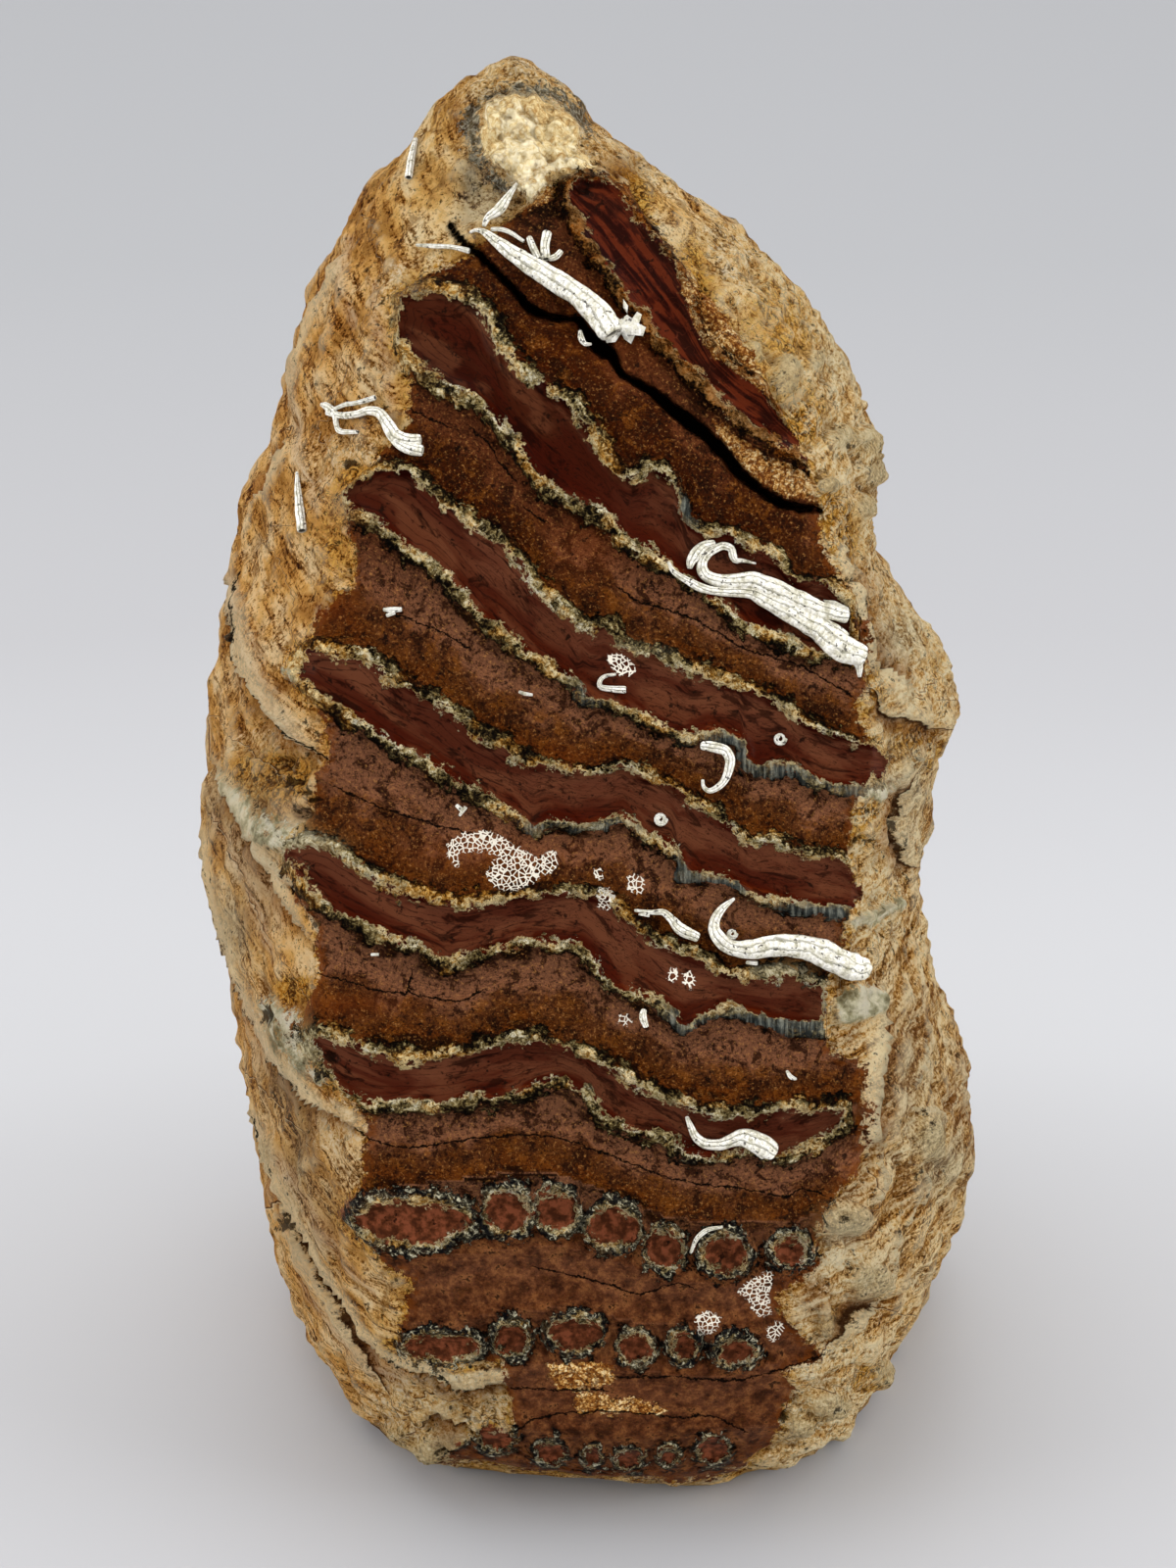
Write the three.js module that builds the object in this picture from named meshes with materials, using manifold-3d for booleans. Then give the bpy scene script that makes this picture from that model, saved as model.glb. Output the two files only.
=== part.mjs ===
// A fossil mammoth molar that stands on its rear end, chewing face forward, with worm tubes
// grown on it. Millimetres, +Z up, +Y away from the chewing face, bench at z = 0.
import * as THREE from 'three';
import Module from 'manifold-3d';

const wasm = await Module();
wasm.setup();

// ---------------------------------------------------------------- driving sizes (mm)
const STEP = 0.135;            // one step of the layout sheet
const SHEET_MIDDLE = [600, 800]; // sheet point that touches the middle of the chewing face
const SHEET_LEAN = THREE.MathUtils.degToRad(23); // how far the sheet leans back
const SIGHT = 600;             // depth lines run together this far in front of the sheet
const SHEET_LIFT = 112;        // height of the sheet's middle over the bench
const CENTRE = [0.18, 40.46];   // x and y of the middle of the tooth's box, moved to the origin

const EDGE_DROP = 3;           // the chewing face falls back this much at its long edges
const ENAMEL_RISE = 1.1;       // enamel stands above the cement
const POOL_DEPTH = 1.5;        // worn dentine lies below the cement
const CRACK_DEPTH = 12;
const PLATE_ROOT = 2.5;        // how far a raised plate reaches into the body
const TUBE_GAP = 0.35;         // clearance under each worm tube

// ---------------------------------------------------------------- outlines, in sheet steps
// x runs right and y runs down the sheet. Rows are the levels at which the body is lofted.
const ROWS = [57, 61, 70, 88, 118, 150, 190, 240, 290, 340, 385, 430, 470, 504, 537, 570, 598,
  645, 690, 720, 752, 805, 855, 890, 935, 985, 1040, 1095, 1150, 1205, 1260, 1315, 1365, 1410,
  1450, 1482, 1504, 1518];

const LEFT_OUTLINE = [[521, 57], [499, 64], [476, 76], [458, 90], [443, 105], [432, 122],
  [405, 157], [380, 178], [350, 215], [334, 260], [315, 289], [292, 337], [290, 367],
  [273, 425], [271, 461], [238, 511], [233, 547], [236, 597], [222, 616], [210, 662],
  [207, 702], [213, 750], [209, 774], [197, 812], [202, 854], [207, 885], [219, 934],
  [220, 972], [237, 1064], [250, 1108], [244, 1120], [248, 1153], [263, 1195], [276, 1282],
  [308, 1362], [349, 1424], [380, 1463], [423, 1489], [462, 1500], [530, 1507], [600, 1513],
  [650, 1518]];
const RIGHT_OUTLINE = [[525, 57], [543, 61], [564, 74], [583, 90], [600, 105], [605, 122],
  [629, 138], [680, 174], [735, 216], [783, 252], [827, 302], [863, 356], [888, 412],
  [881, 430], [900, 458], [903, 475], [901, 504], [890, 520], [884, 537], [896, 560],
  [935, 619], [974, 670], [984, 721], [965, 758], [947, 785], [951, 823], [937, 858],
  [933, 886], [947, 970], [972, 1044], [990, 1091], [995, 1170], [977, 1253], [936, 1337],
  [905, 1388], [903, 1406], [862, 1460], [831, 1480], [804, 1494], [760, 1506], [725, 1514],
  [700, 1518]];

// Long edges of the worn face, where it turns into the side walls.
const FACE_LEFT = [[523, 57], [512, 64], [490, 80], [474, 110], [458, 200], [425, 270],
  [405, 340], [395, 430], [365, 500], [350, 580], [325, 650], [318, 760], [308, 860],
  [312, 960], [322, 1050], [352, 1130], [362, 1220], [392, 1300], [412, 1370], [445, 1430],
  [480, 1475], [520, 1497], [580, 1508], [655, 1518]];
const FACE_RIGHT = [[524, 57], [536, 64], [555, 80], [585, 110], [640, 190], [700, 270],
  [760, 340], [800, 410], [838, 480], [846, 540], [868, 610], [884, 690], [890, 780],
  [872, 860], [868, 960], [868, 1060], [880, 1130], [862, 1220], [846, 1300], [838, 1370],
  [815, 1430], [780, 1470], [745, 1494], [718, 1508], [695, 1518]];

// Depth behind the sheet, in millimetres, at sheet levels: worn face, widest girth, back.
const FRONT_DEPTH = [[57, 38], [60, 33.5], [66, 29.5], [80, 26], [110, 22], [150, 19],
  [200, 15.5], [300, 8], [400, 3.5], [500, 1], [600, 0], [1000, 0], [1100, 0.8], [1200, 3],
  [1300, 7.5], [1400, 14], [1460, 20], [1490, 25], [1505, 29.5], [1518, 35.5]];
const GIRTH_DEPTH = [[57, 38.5], [100, 38], [168, 40], [318, 44], [547, 48], [764, 50],
  [968, 54], [1192, 60], [1300, 62], [1400, 56], [1480, 43], [1518, 37]];
const BACK_DEPTH = [[57, 39], [62, 43], [80, 48], [120, 54], [168, 60], [318, 75], [547, 93],
  [764, 108], [968, 120], [1192, 134], [1400, 145], [1518, 150]];

// Worn plates, each as the middle line of its upper and lower enamel band: [x, y, width].
const PLATES = [
  {
    upper: [[578, 180, 12], [615, 178, 14], [640, 200, 14], [660, 228, 14], [682, 255, 12],
      [700, 285, 12], [712, 320, 10], [725, 348, 10], [750, 372, 10], [778, 388, 10],
      [792, 412, 10], [812, 432, 12], [835, 452, 14]],
    lower: [[575, 205, 20], [600, 250, 22], [632, 298, 20], [652, 322, 20], [672, 350, 20],
      [695, 373, 20], [740, 418, 24], [765, 440, 24], [795, 458, 26], [824, 476, 22]],
  },
  {
    upper: [[400, 330, 24], [404, 300, 20], [440, 292, 22], [480, 300, 22], [503, 325, 24],
      [512, 350, 26], [535, 375, 26], [565, 395, 24], [590, 415, 26], [607, 440, 26],
      [625, 470, 28], [645, 484, 24], [665, 472, 22], [687, 487, 14], [697, 508, 12],
      [700, 527, 16], [720, 541, 20], [745, 540, 18], [770, 555, 22], [795, 568, 22],
      [812, 588, 16], [840, 592, 14], [872, 612, 12]],
    lower: [[399, 343, 20], [424, 377, 22], [453, 397, 24], [480, 408, 22], [503, 429, 20],
      [519, 452, 22], [540, 478, 24], [563, 504, 24], [590, 518, 22], [620, 532, 26],
      [638, 556, 24], [665, 570, 24], [690, 588, 18], [717, 607, 18], [740, 625, 16],
      [765, 643, 22], [800, 657, 22], [835, 670, 24], [872, 674, 14]],
  },
  {
    upper: [[350, 518, 20], [350, 500, 18], [362, 486, 16], [392, 474, 14], [418, 478, 16],
      [438, 494, 18], [460, 514, 22], [485, 533, 22], [510, 549, 24], [530, 568, 24],
      [548, 594, 22], [568, 612, 24], [588, 628, 20], [602, 640, 16], [618, 632, 18],
      [630, 646, 22], [650, 660, 24], [680, 668, 26], [705, 680, 22], [735, 690, 22],
      [770, 703, 18], [800, 716, 18], [822, 735, 20], [850, 746, 14], [905, 765, 12]],
    lower: [[348, 524, 20], [362, 526, 20], [385, 537, 22], [410, 560, 22], [440, 578, 22],
      [457, 598, 24], [480, 622, 22], [505, 643, 22], [530, 665, 22], [555, 681, 24],
      [580, 694, 20], [610, 717, 18], [640, 728, 20], [670, 741, 20], [700, 755, 18],
      [725, 752, 20], [757, 772, 20], [772, 787, 20], [800, 784, 18], [825, 794, 18],
      [850, 804, 20], [880, 808, 22], [912, 796, 16]],
  },
  {
    upper: [[294, 678, 26], [305, 664, 26], [320, 660, 26], [350, 662, 26], [378, 668, 24],
      [400, 688, 22], [425, 703, 20], [450, 714, 20], [470, 728, 24], [490, 747, 24],
      [515, 758, 22], [540, 772, 24], [570, 781, 16], [600, 785, 14], [635, 780, 12],
      [660, 788, 16], [690, 802, 16], [720, 822, 16], [750, 842, 16], [765, 858, 14],
      [790, 855, 16], [825, 868, 18], [860, 874, 14], [886, 890, 12]],
    lower: [[294, 692, 26], [312, 704, 22], [340, 725, 22], [370, 742, 22], [400, 761, 22],
      [428, 777, 22], [455, 797, 22], [485, 813, 20], [515, 827, 18], [541, 846, 20],
      [560, 840, 16], [590, 844, 18], [620, 842, 16], [635, 838, 14], [660, 856, 18],
      [685, 868, 16], [698, 888, 18], [715, 896, 18], [740, 900, 20], [770, 914, 20],
      [805, 925, 20], [840, 930, 20], [884, 936, 18]],
  },
  {
    upper: [[288, 864, 20], [300, 860, 22], [318, 857, 20], [340, 862, 22], [362, 878, 22],
      [390, 893, 24], [420, 906, 24], [450, 914, 26], [480, 918, 24], [515, 914, 16],
      [550, 910, 14], [590, 908, 14], [620, 913, 16], [640, 932, 18], [665, 952, 18],
      [695, 966, 20], [722, 977, 20], [740, 991, 16], [775, 992, 22], [815, 993, 20],
      [846, 1004, 14]],
    lower: [[288, 876, 20], [298, 890, 22], [318, 918, 22], [345, 936, 20], [375, 950, 22],
      [405, 962, 20], [435, 973, 20], [455, 985, 20], [475, 980, 18], [510, 970, 14],
      [545, 962, 14], [572, 966, 18], [595, 972, 18], [610, 992, 18], [630, 1012, 18],
      [660, 1020, 18], [680, 1034, 18], [697, 1050, 22], [715, 1042, 20], [740, 1030, 18],
      [765, 1037, 18], [800, 1048, 20], [846, 1052, 18]],
  },
  {
    upper: [[314, 1062, 24], [322, 1050, 24], [345, 1056, 24], [375, 1066, 24],
      [405, 1075, 22], [435, 1076, 20], [465, 1072, 18], [495, 1064, 20], [525, 1054, 20],
      [560, 1062, 20], [595, 1072, 18], [625, 1086, 20], [655, 1106, 22], [690, 1120, 20],
      [720, 1132, 20], [745, 1134, 24], [780, 1130, 22], [820, 1127, 22], [866, 1126, 18]],
    lower: [[316, 1076, 22], [326, 1092, 20], [340, 1108, 20], [360, 1124, 20],
      [385, 1131, 20], [420, 1129, 18], [455, 1130, 18], [490, 1123, 20], [525, 1121, 20],
      [550, 1112, 18], [575, 1106, 16], [597, 1118, 18], [612, 1138, 18], [640, 1154, 18],
      [675, 1161, 20], [700, 1181, 22], [735, 1182, 18], [765, 1176, 16], [795, 1184, 18],
      [830, 1172, 20], [866, 1150, 16]],
  },
];

// Finger rings of the barely worn rear plates: [centre x, y, outer half axes, inner half axes].
const RINGS = [
  [420, 1247, 76, 39, 54, 18], [518, 1236, 33, 38, 22, 16], [568, 1234, 28, 36, 20, 15],
  [626, 1252, 34, 34, 25, 16], [678, 1274, 27, 32, 18, 16], [740, 1279, 34, 32, 21, 16],
  [807, 1275, 28, 27, 15, 11],
  [452, 1375, 50, 25, 36, 11], [522, 1366, 25, 28, 15, 12], [587, 1361, 36, 28, 25, 14],
  [649, 1375, 24, 26, 15, 12], [697, 1374, 21, 24, 11, 11], [751, 1379, 29, 25, 18, 10],
  [506, 1468, 27, 20, 15, 9], [562, 1482, 24, 18, 13, 8], [642, 1489, 21, 17, 13, 8],
  [727, 1480, 24, 20, 15, 10],
];

// Unworn finger tips: raised knobs with no dentine showing, [centre x, y, half axes].
const KNOBS = [[856, 1243, 16, 17], [462, 1466, 20, 15], [604, 1486, 15, 17],
  [683, 1486, 16, 17]];

// Broken stump of a worn-away plate at the very top.
const TOP_STUMP = {
  upper: [[494, 122], [506, 106], [530, 100], [556, 99], [576, 106], [590, 126]],
  lower: [[492, 138], [512, 148], [536, 154], [562, 162], [584, 162], [598, 150]],
};

// Open crack behind the first plate: [x, y, width].
const CRACK = [[455, 226, 5], [485, 262, 8], [520, 292, 9], [535, 308, 12], [580, 322, 11],
  [610, 345, 14], [622, 358, 12], [650, 390, 14], [700, 425, 14], [738, 462, 14],
  [757, 485, 14], [800, 515, 12], [838, 520, 7]];

// Enamel pearls on the right wall: [x, y, radius in mm].
const PEARLS = [[905, 745, 3.0], [905, 1225, 2.6], [882, 1308, 2.8], [945, 1145, 2.6],
  [840, 1432, 2.4], [874, 1030, 3.4]];

// Root stubs and hollows on the back: [side step x, level y, height mm, radius mm].
const STUBS = [[430, 330, 3.5, 10], [760, 340, 3.0, 10], [385, 560, 4.5, 12],
  [800, 590, 4.0, 12], [370, 800, 5.0, 13], [830, 830, 4.5, 13], [380, 1040, 4.5, 12],
  [810, 1060, 5.0, 12], [600, 680, -4.0, 17], [600, 930, -4.5, 17]];

// Worm tubes, as middle lines laid on the surface: [x, y, width].
const WORM_TUBES = {
  worm_tube_top: [[492, 238, 12], [505, 243, 16], [540, 268, 20], [560, 282, 24],
    [580, 293, 26], [600, 308, 30], [612, 322, 36], [619, 336, 38]],
  worm_tube_left: [[347, 426, 8], [363, 425, 8], [378, 421, 10], [390, 425, 12],
    [395, 438, 14], [403, 449, 18], [416, 453, 20], [430, 455, 22]],
  worm_tube_left_edge: [[303, 484, 5], [305, 509, 9], [308, 540, 14]],
  worm_tube_shoulder: [[424, 142, 6], [420, 160, 8], [417, 180, 9]],
  worm_tube_right: [[706, 575, 11], [714, 583, 13], [724, 591, 14], [745, 590, 16],
    [770, 592, 18], [795, 602, 24], [820, 618, 34], [845, 637, 38], [865, 655, 36],
    [884, 668, 26]],
  worm_tube_hook: [[715, 760, 10], [730, 764, 12], [743, 770, 12], [744, 782, 10],
    [738, 795, 8], [728, 806, 7]],
  worm_tube_lower: [[734, 927, 8], [728, 939, 9], [733, 954, 10], [747, 966, 14],
    [770, 969, 20], [792, 967, 24], [815, 969, 26], [838, 976, 28], [861, 983, 30],
    [880, 984, 30]],
  worm_tube_thread: [[650, 931, 6], [669, 930, 7], [682, 935, 8], [694, 949, 10],
    [710, 958, 12]],
  worm_tube_low_right: [[704, 1150, 7], [717, 1163, 8], [735, 1165, 10], [753, 1162, 16],
    [772, 1164, 22], [790, 1170, 26]],
};

// ---------------------------------------------------------------- small helpers
const clamp01 = (t) => Math.min(1, Math.max(0, t));
const mix = (a, b, t) => a + (b - a) * t;
const smooth = (t) => clamp01(t) ** 2 * (3 - 2 * clamp01(t));

// Value of a list of [key, value] pairs at a key, straight between neighbours.
function valueAt(pairs, key) {
  const next = pairs.findIndex(([k]) => k >= key);
  if (next === 0) return pairs[0][1];
  if (next < 0) return pairs[pairs.length - 1][1];
  const [k0, v0] = pairs[next - 1];
  const [k1, v1] = pairs[next];
  return mix(v0, v1, (key - k0) / (k1 - k0));
}

const swapped = (pairs) => pairs.map(([x, y]) => [y, x]);
const levels = {
  left: swapped(LEFT_OUTLINE),
  right: swapped(RIGHT_OUTLINE),
  faceLeft: swapped(FACE_LEFT),
  faceRight: swapped(FACE_RIGHT),
};

const acrossMm = (x) => (x - SHEET_MIDDLE[0]) * STEP;

// A point of the sheet, pushed back by a depth, as a point of the world.
function place(x, y, depth) {
  const spread = 1 + depth / SIGHT;
  const across = acrossMm(x) * spread;
  const up = (SHEET_MIDDLE[1] - y) * STEP * spread;
  return [
    across - CENTRE[0],
    up * Math.sin(SHEET_LEAN) + depth * Math.cos(SHEET_LEAN) - CENTRE[1],
    up * Math.cos(SHEET_LEAN) - depth * Math.sin(SHEET_LEAN) + SHEET_LIFT,
  ];
}

// ---------------------------------------------------------------- body
const FACE_COLUMNS = 7;
const WALL_COLUMNS = 5;
const BACK_COLUMNS = 12;
const RIB_WINDOW = 90;         // sheet steps over which an outline is smoothed
const RIB_SLOPE_LEFT = [0.55, 0.9];  // rise of the ribs per mm of depth, high and low down
const RIB_SLOPE_RIGHT = [0.4, 0.5];

// How far an outline stands out of its own smoothed run: the ribs of the side walls.
// Away from the girth the ribs are softened over a few sheet steps.
function ribHeight(outline, outward, y, soften = 0) {
  let total = 0;
  let weights = 0;
  for (let shift = -RIB_WINDOW; shift <= RIB_WINDOW; shift += RIB_WINDOW / 6) {
    const weight = 1 - Math.abs(shift) / (RIB_WINDOW * 1.1);
    total += valueAt(outline, y + shift) * weight;
    weights += weight;
  }
  const fade = smooth((y - 150) / 100) * (1 - smooth((y - 1370) / 70));
  const near = [-soften, 0, soften].reduce((sum, shift) => sum + valueAt(outline, y + shift), 0);
  return (near / 3 - total / weights) * outward * STEP * fade;
}

function ribSlope(range, y) {
  return mix(range[0], range[1], smooth((y - 800) / 500));
}

// One closed cross-section of the body, as [x in steps, depth in mm] pairs.
function section(y, grow) {
  const left = valueAt(levels.left, y);
  const right = valueAt(levels.right, y);
  const ribLeft = ribHeight(levels.left, -1, y);
  const ribRight = ribHeight(levels.right, 1, y);
  const plainLeft = left + ribLeft / STEP;
  const plainRight = right - ribRight / STEP;
  const faceLeft = valueAt(levels.faceLeft, y);
  const faceRight = valueAt(levels.faceRight, y);
  const front = valueAt(FRONT_DEPTH, y);
  const girth = valueAt(GIRTH_DEPTH, y);
  const back = valueAt(BACK_DEPTH, y);
  const drop = Math.min(EDGE_DROP, (girth - front) * 0.35);
  const edge = front + drop;
  const middle = (plainLeft + plainRight) / 2;
  const points = [];

  for (let i = 0; i < FACE_COLUMNS; i += 1) {
    const t = i / FACE_COLUMNS;
    points.push([mix(faceLeft, faceRight, t), front + drop * Math.abs(2 * t - 1) ** 2.5, 0, 0]);
  }
  const wall = (t, from, to, side) => {
    const turn = (t * Math.PI) / 2;
    points.push([
      mix(from, to, 0.6 * Math.sin(turn) + 0.4 * t),
      mix(edge, girth, 0.6 * (1 - Math.cos(turn)) + 0.4 * t),
      smooth(t * 3), side,
    ]);
  };
  const rear = (t, to, side) => {
    const turn = (t * Math.PI) / 2;
    points.push([
      middle + (to - middle) * Math.cos(turn) ** 0.75,
      girth + (back - girth) * Math.sin(turn) ** 0.75,
      mix(1, 0.5, t), side,
    ]);
  };
  for (let i = 0; i < WALL_COLUMNS; i += 1) wall(i / WALL_COLUMNS, faceRight, plainRight, 1);
  for (let i = 0; i < BACK_COLUMNS / 2; i += 1) rear((i * 2) / BACK_COLUMNS, plainRight, 1);
  for (let i = BACK_COLUMNS / 2; i > 0; i -= 1) rear((i * 2) / BACK_COLUMNS, plainLeft, -1);
  for (let i = WALL_COLUMNS; i > 0; i -= 1) wall(i / WALL_COLUMNS, faceLeft, plainLeft, -1);

  return points.map(([x, depth, ribShare, side], i) => {
    const before = points[(i + points.length - 1) % points.length];
    const after = points[(i + 1) % points.length];
    const run = [(after[0] - before[0]) * STEP, after[1] - before[1]];
    const length = Math.hypot(...run) || 1;
    const normal = [run[1] / length, -run[0] / length];
    const outline = side < 0 ? levels.left : levels.right;
    const slopes = side < 0 ? RIB_SLOPE_LEFT : RIB_SLOPE_RIGHT;
    const ribLevel = y + (ribSlope(slopes, y) * (depth - girth)) / STEP;
    const soften = 30 * smooth(Math.abs(depth - girth) / 10);
    let out = ribShare ? ribHeight(outline, side, ribLevel, soften) * ribShare : 0;
    if (depth > girth + 5) out += stubHeight(x, y);
    return [x + (normal[0] * (out + grow)) / STEP, depth + normal[1] * (out + grow)];
  });
}

// Rounded stubs and hollows of the back, all with soft shoulders.
function stubHeight(x, y) {
  let height = 0;
  for (const [stubX, stubY, rise, radius] of STUBS) {
    const away = Math.hypot(x - stubX, y - stubY) * STEP / radius;
    height += rise * (1 - smooth(away * 0.8));
  }
  return height;
}

// Turns points and triangles into a solid, facing outward.
function solid(points, triangles) {
  let volume = 0;
  for (const [a, b, c] of triangles) {
    const [p, q, r] = [points[a], points[b], points[c]].map((v) => new THREE.Vector3(...v));
    volume += p.dot(q.cross(r));
  }
  const faces = volume < 0 ? triangles.map(([a, b, c]) => [a, c, b]) : triangles;
  return new wasm.Manifold(new wasm.Mesh({
    numProp: 3,
    vertProperties: new Float32Array(points.flat()),
    triVerts: new Uint32Array(faces.flat()),
  }));
}

// Skins a stack of closed rings and closes both ends with fans.
function skin(rings) {
  const points = rings.flat();
  const around = rings[0].length;
  const triangles = [];
  for (let j = 0; j + 1 < rings.length; j += 1) {
    for (let i = 0; i < around; i += 1) {
      const a = j * around + i;
      const b = j * around + ((i + 1) % around);
      triangles.push([a, b, b + around], [a, b + around, a + around]);
    }
  }
  for (const [ring, flip] of [[0, true], [rings.length - 1, false]]) {
    const hub = points.length;
    const members = rings[ring];
    points.push([0, 1, 2].map((k) => members.reduce((sum, p) => sum + p[k], 0) / around));
    for (let i = 0; i < around; i += 1) {
      const a = ring * around + i;
      const b = ring * around + ((i + 1) % around);
      triangles.push(flip ? [b, a, hub] : [a, b, hub]);
    }
  }
  return solid(points, triangles);
}

const sections = ROWS.map((y) => section(y, 0));
const frontOrder = [
  ...Array.from({ length: WALL_COLUMNS }, (_, i) => FACE_COLUMNS + WALL_COLUMNS + BACK_COLUMNS + i),
  ...Array.from({ length: FACE_COLUMNS + WALL_COLUMNS + 1 }, (_, i) => i),
];

// Depth of the front surface behind the sheet at a sheet point.
function depthAt(x, y) {
  let row = ROWS.findIndex((level) => level >= y);
  row = Math.min(Math.max(row, 1), ROWS.length - 1);
  const depths = [row - 1, row].map((index) => {
    const run = frontOrder.map((i) => sections[index][i]).sort((a, b) => a[0] - b[0]);
    return valueAt(run, x);
  });
  return mix(depths[0], depths[1], clamp01((y - ROWS[row - 1]) / (ROWS[row] - ROWS[row - 1])));
}

// ---------------------------------------------------------------- worn plates and rings
// A band of sheet between two lines, as thick as the two offsets from the front surface.
function slab(upper, lower, top, bottom) {
  const rings = upper.map((point, i) => {
    const [a, b] = [point, lower[i]];
    const corners = [[a, top], [b, top], [b, bottom], [a, bottom]];
    return corners.map(([[x, y], offset]) => place(x, y, depthAt(x, y) + offset));
  });
  return skin(rings);
}

// Evenly spaced points on a smooth line through [x, y, width] points.
function spaced(line, count) {
  const curve = new THREE.CatmullRomCurve3(
    line.map(([x, y, width = 0]) => new THREE.Vector3(x, y, width)), false, 'centripetal');
  return curve.getSpacedPoints(count - 1).map((p) => [p.x, p.y, p.z]);
}

// Moves a line sideways by a share of its own width; side 1 is down the sheet.
function beside(line, side) {
  return line.map(([x, y, width], i) => {
    const before = line[Math.max(i - 1, 0)];
    const after = line[Math.min(i + 1, line.length - 1)];
    const run = [after[0] - before[0], after[1] - before[1]];
    const length = Math.hypot(...run) || 1;
    return [x - (run[1] / length) * side * width / 2, y + (run[0] / length) * side * width / 2];
  });
}

function wornPlate({ upper, lower }, count) {
  const upperLine = spaced(upper, count);
  const lowerLine = spaced(lower, count);
  const poolUpper = beside(upperLine, 1);
  const poolLower = beside(lowerLine, -1);
  const open = poolUpper.map((p, i) => i > 0 && i < count - 1 && poolLower[i][1] - p[1] > 6);
  const first = open.indexOf(true);
  const last = open.lastIndexOf(true) + 1;
  return {
    body: [beside(upperLine, -1), beside(lowerLine, 1)],
    pool: [poolUpper.slice(first, last), poolLower.slice(first, last)],
  };
}

// Half of an oval, with more corners on the larger ones.
function halfOval(x, y, halfWidth, halfHeight, side) {
  const corners = halfWidth > 30 ? 5 : 3 + Number(halfWidth > 15);
  return Array.from({ length: corners }, (_, i) => {
    const turn = Math.PI * ((i + 0.25) / (corners - 0.5));
    return [x - halfWidth * Math.cos(turn), y - side * halfHeight * Math.sin(turn)];
  });
}

function fingerRing([x, y, outerX, outerY, innerX, innerY]) {
  return {
    body: [halfOval(x, y, outerX, outerY, 1), halfOval(x, y, outerX, outerY, -1)],
    pool: [halfOval(x, y, innerX, innerY, 1), halfOval(x, y, innerX, innerY, -1)],
  };
}

const plates = [
  ...PLATES.map((plate) => wornPlate(plate, 15)),
  ...RINGS.map(fingerRing),
  ...KNOBS.map(([x, y, halfWidth, halfHeight]) => ({
    body: [halfOval(x, y, halfWidth, halfHeight, 1), halfOval(x, y, halfWidth, halfHeight, -1)],
  })),
];

function pearl([x, y, radius], grow) {
  const ball = new THREE.IcosahedronGeometry(radius + grow, 1);
  const centre = place(x, y, depthAt(x, y) + radius * 0.35);
  const corners = new Map();
  const points = [];
  const index = [];
  const position = ball.getAttribute('position');
  for (let i = 0; i < position.count; i += 1) {
    const point = [position.getX(i), position.getY(i), position.getZ(i)];
    const key = point.map((value) => value.toFixed(3)).join();
    if (!corners.has(key)) {
      corners.set(key, points.length);
      points.push(point.map((value, k) => value + centre[k]));
    }
    index.push(corners.get(key));
  }
  const triangles = [];
  for (let i = 0; i < index.length; i += 3) triangles.push(index.slice(i, i + 3));
  return solid(points, triangles);
}

// The tooth before anything is cut into it, grown by a clearance.
function uncutTooth(grow) {
  let tooth = skin(ROWS.map((y) => section(y, grow).map(([x, depth]) => place(x, y, depth))));
  for (const { body } of plates) {
    tooth = tooth.add(slab(...body, -ENAMEL_RISE - grow, PLATE_ROOT));
  }
  const stump = [TOP_STUMP.upper, TOP_STUMP.lower].map((line) => spaced(line, 9));
  tooth = tooth.add(slab(...stump, -ENAMEL_RISE * 1.5 - grow, PLATE_ROOT));
  for (const item of PEARLS) tooth = tooth.add(pearl(item, grow));
  return tooth;
}

function cutTooth() {
  let tooth = uncutTooth(0);
  for (const { pool } of plates.filter((plate) => plate.pool)) {
    tooth = tooth.subtract(slab(...pool, -4, POOL_DEPTH));
  }
  const crack = spaced(CRACK, 20);
  tooth = tooth.subtract(slab(beside(crack, -1), beside(crack, 1), -6, CRACK_DEPTH));
  const corners = Array.from({ length: 8 }, (_, i) => [
    i & 1 ? 200 : -200, i & 2 ? 200 : -200, i & 4 ? 0 : -100,
  ]);
  const sides = [[0, 1, 3, 2], [4, 6, 7, 5], [0, 4, 5, 1], [2, 3, 7, 6], [0, 2, 6, 4],
    [1, 5, 7, 3]];
  const block = solid(corners, sides.flatMap(([a, b, c, d]) => [[a, b, c], [a, c, d]]));
  return tooth.subtract(block);
}

// ---------------------------------------------------------------- worm tubes
const TUBE_SIDES = 7;
const TUBE_LIFT = 1.1;         // least height of a tube's middle line over the cement
const towardEye = new THREE.Vector3(0, -Math.cos(SHEET_LEAN), Math.sin(SHEET_LEAN));

// A round tube of changing width that lies half sunk along a line on the surface.
function wormTube(line) {
  const count = Math.max(6, Math.min(10, line.length + 1));
  const path = spaced(line, count).map(([x, y, width]) => ({
    centre: new THREE.Vector3(...place(x, y, depthAt(x, y) - Math.max(width * STEP * 0.38, TUBE_LIFT))),
    radius: width * STEP / 2,
  }));
  const rings = path.map(({ centre, radius }, i) => {
    const before = path[Math.max(i - 1, 0)].centre;
    const after = path[Math.min(i + 1, path.length - 1)].centre;
    const along = after.clone().sub(before).normalize();
    const side = along.clone().cross(towardEye).normalize();
    const up = side.clone().cross(along).normalize();
    return Array.from({ length: TUBE_SIDES }, (_, k) => {
      const turn = (2 * Math.PI * k) / TUBE_SIDES;
      return centre.clone()
        .addScaledVector(side, radius * Math.cos(turn))
        .addScaledVector(up, radius * Math.sin(turn))
        .toArray();
    });
  });
  return skin(rings);
}

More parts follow.
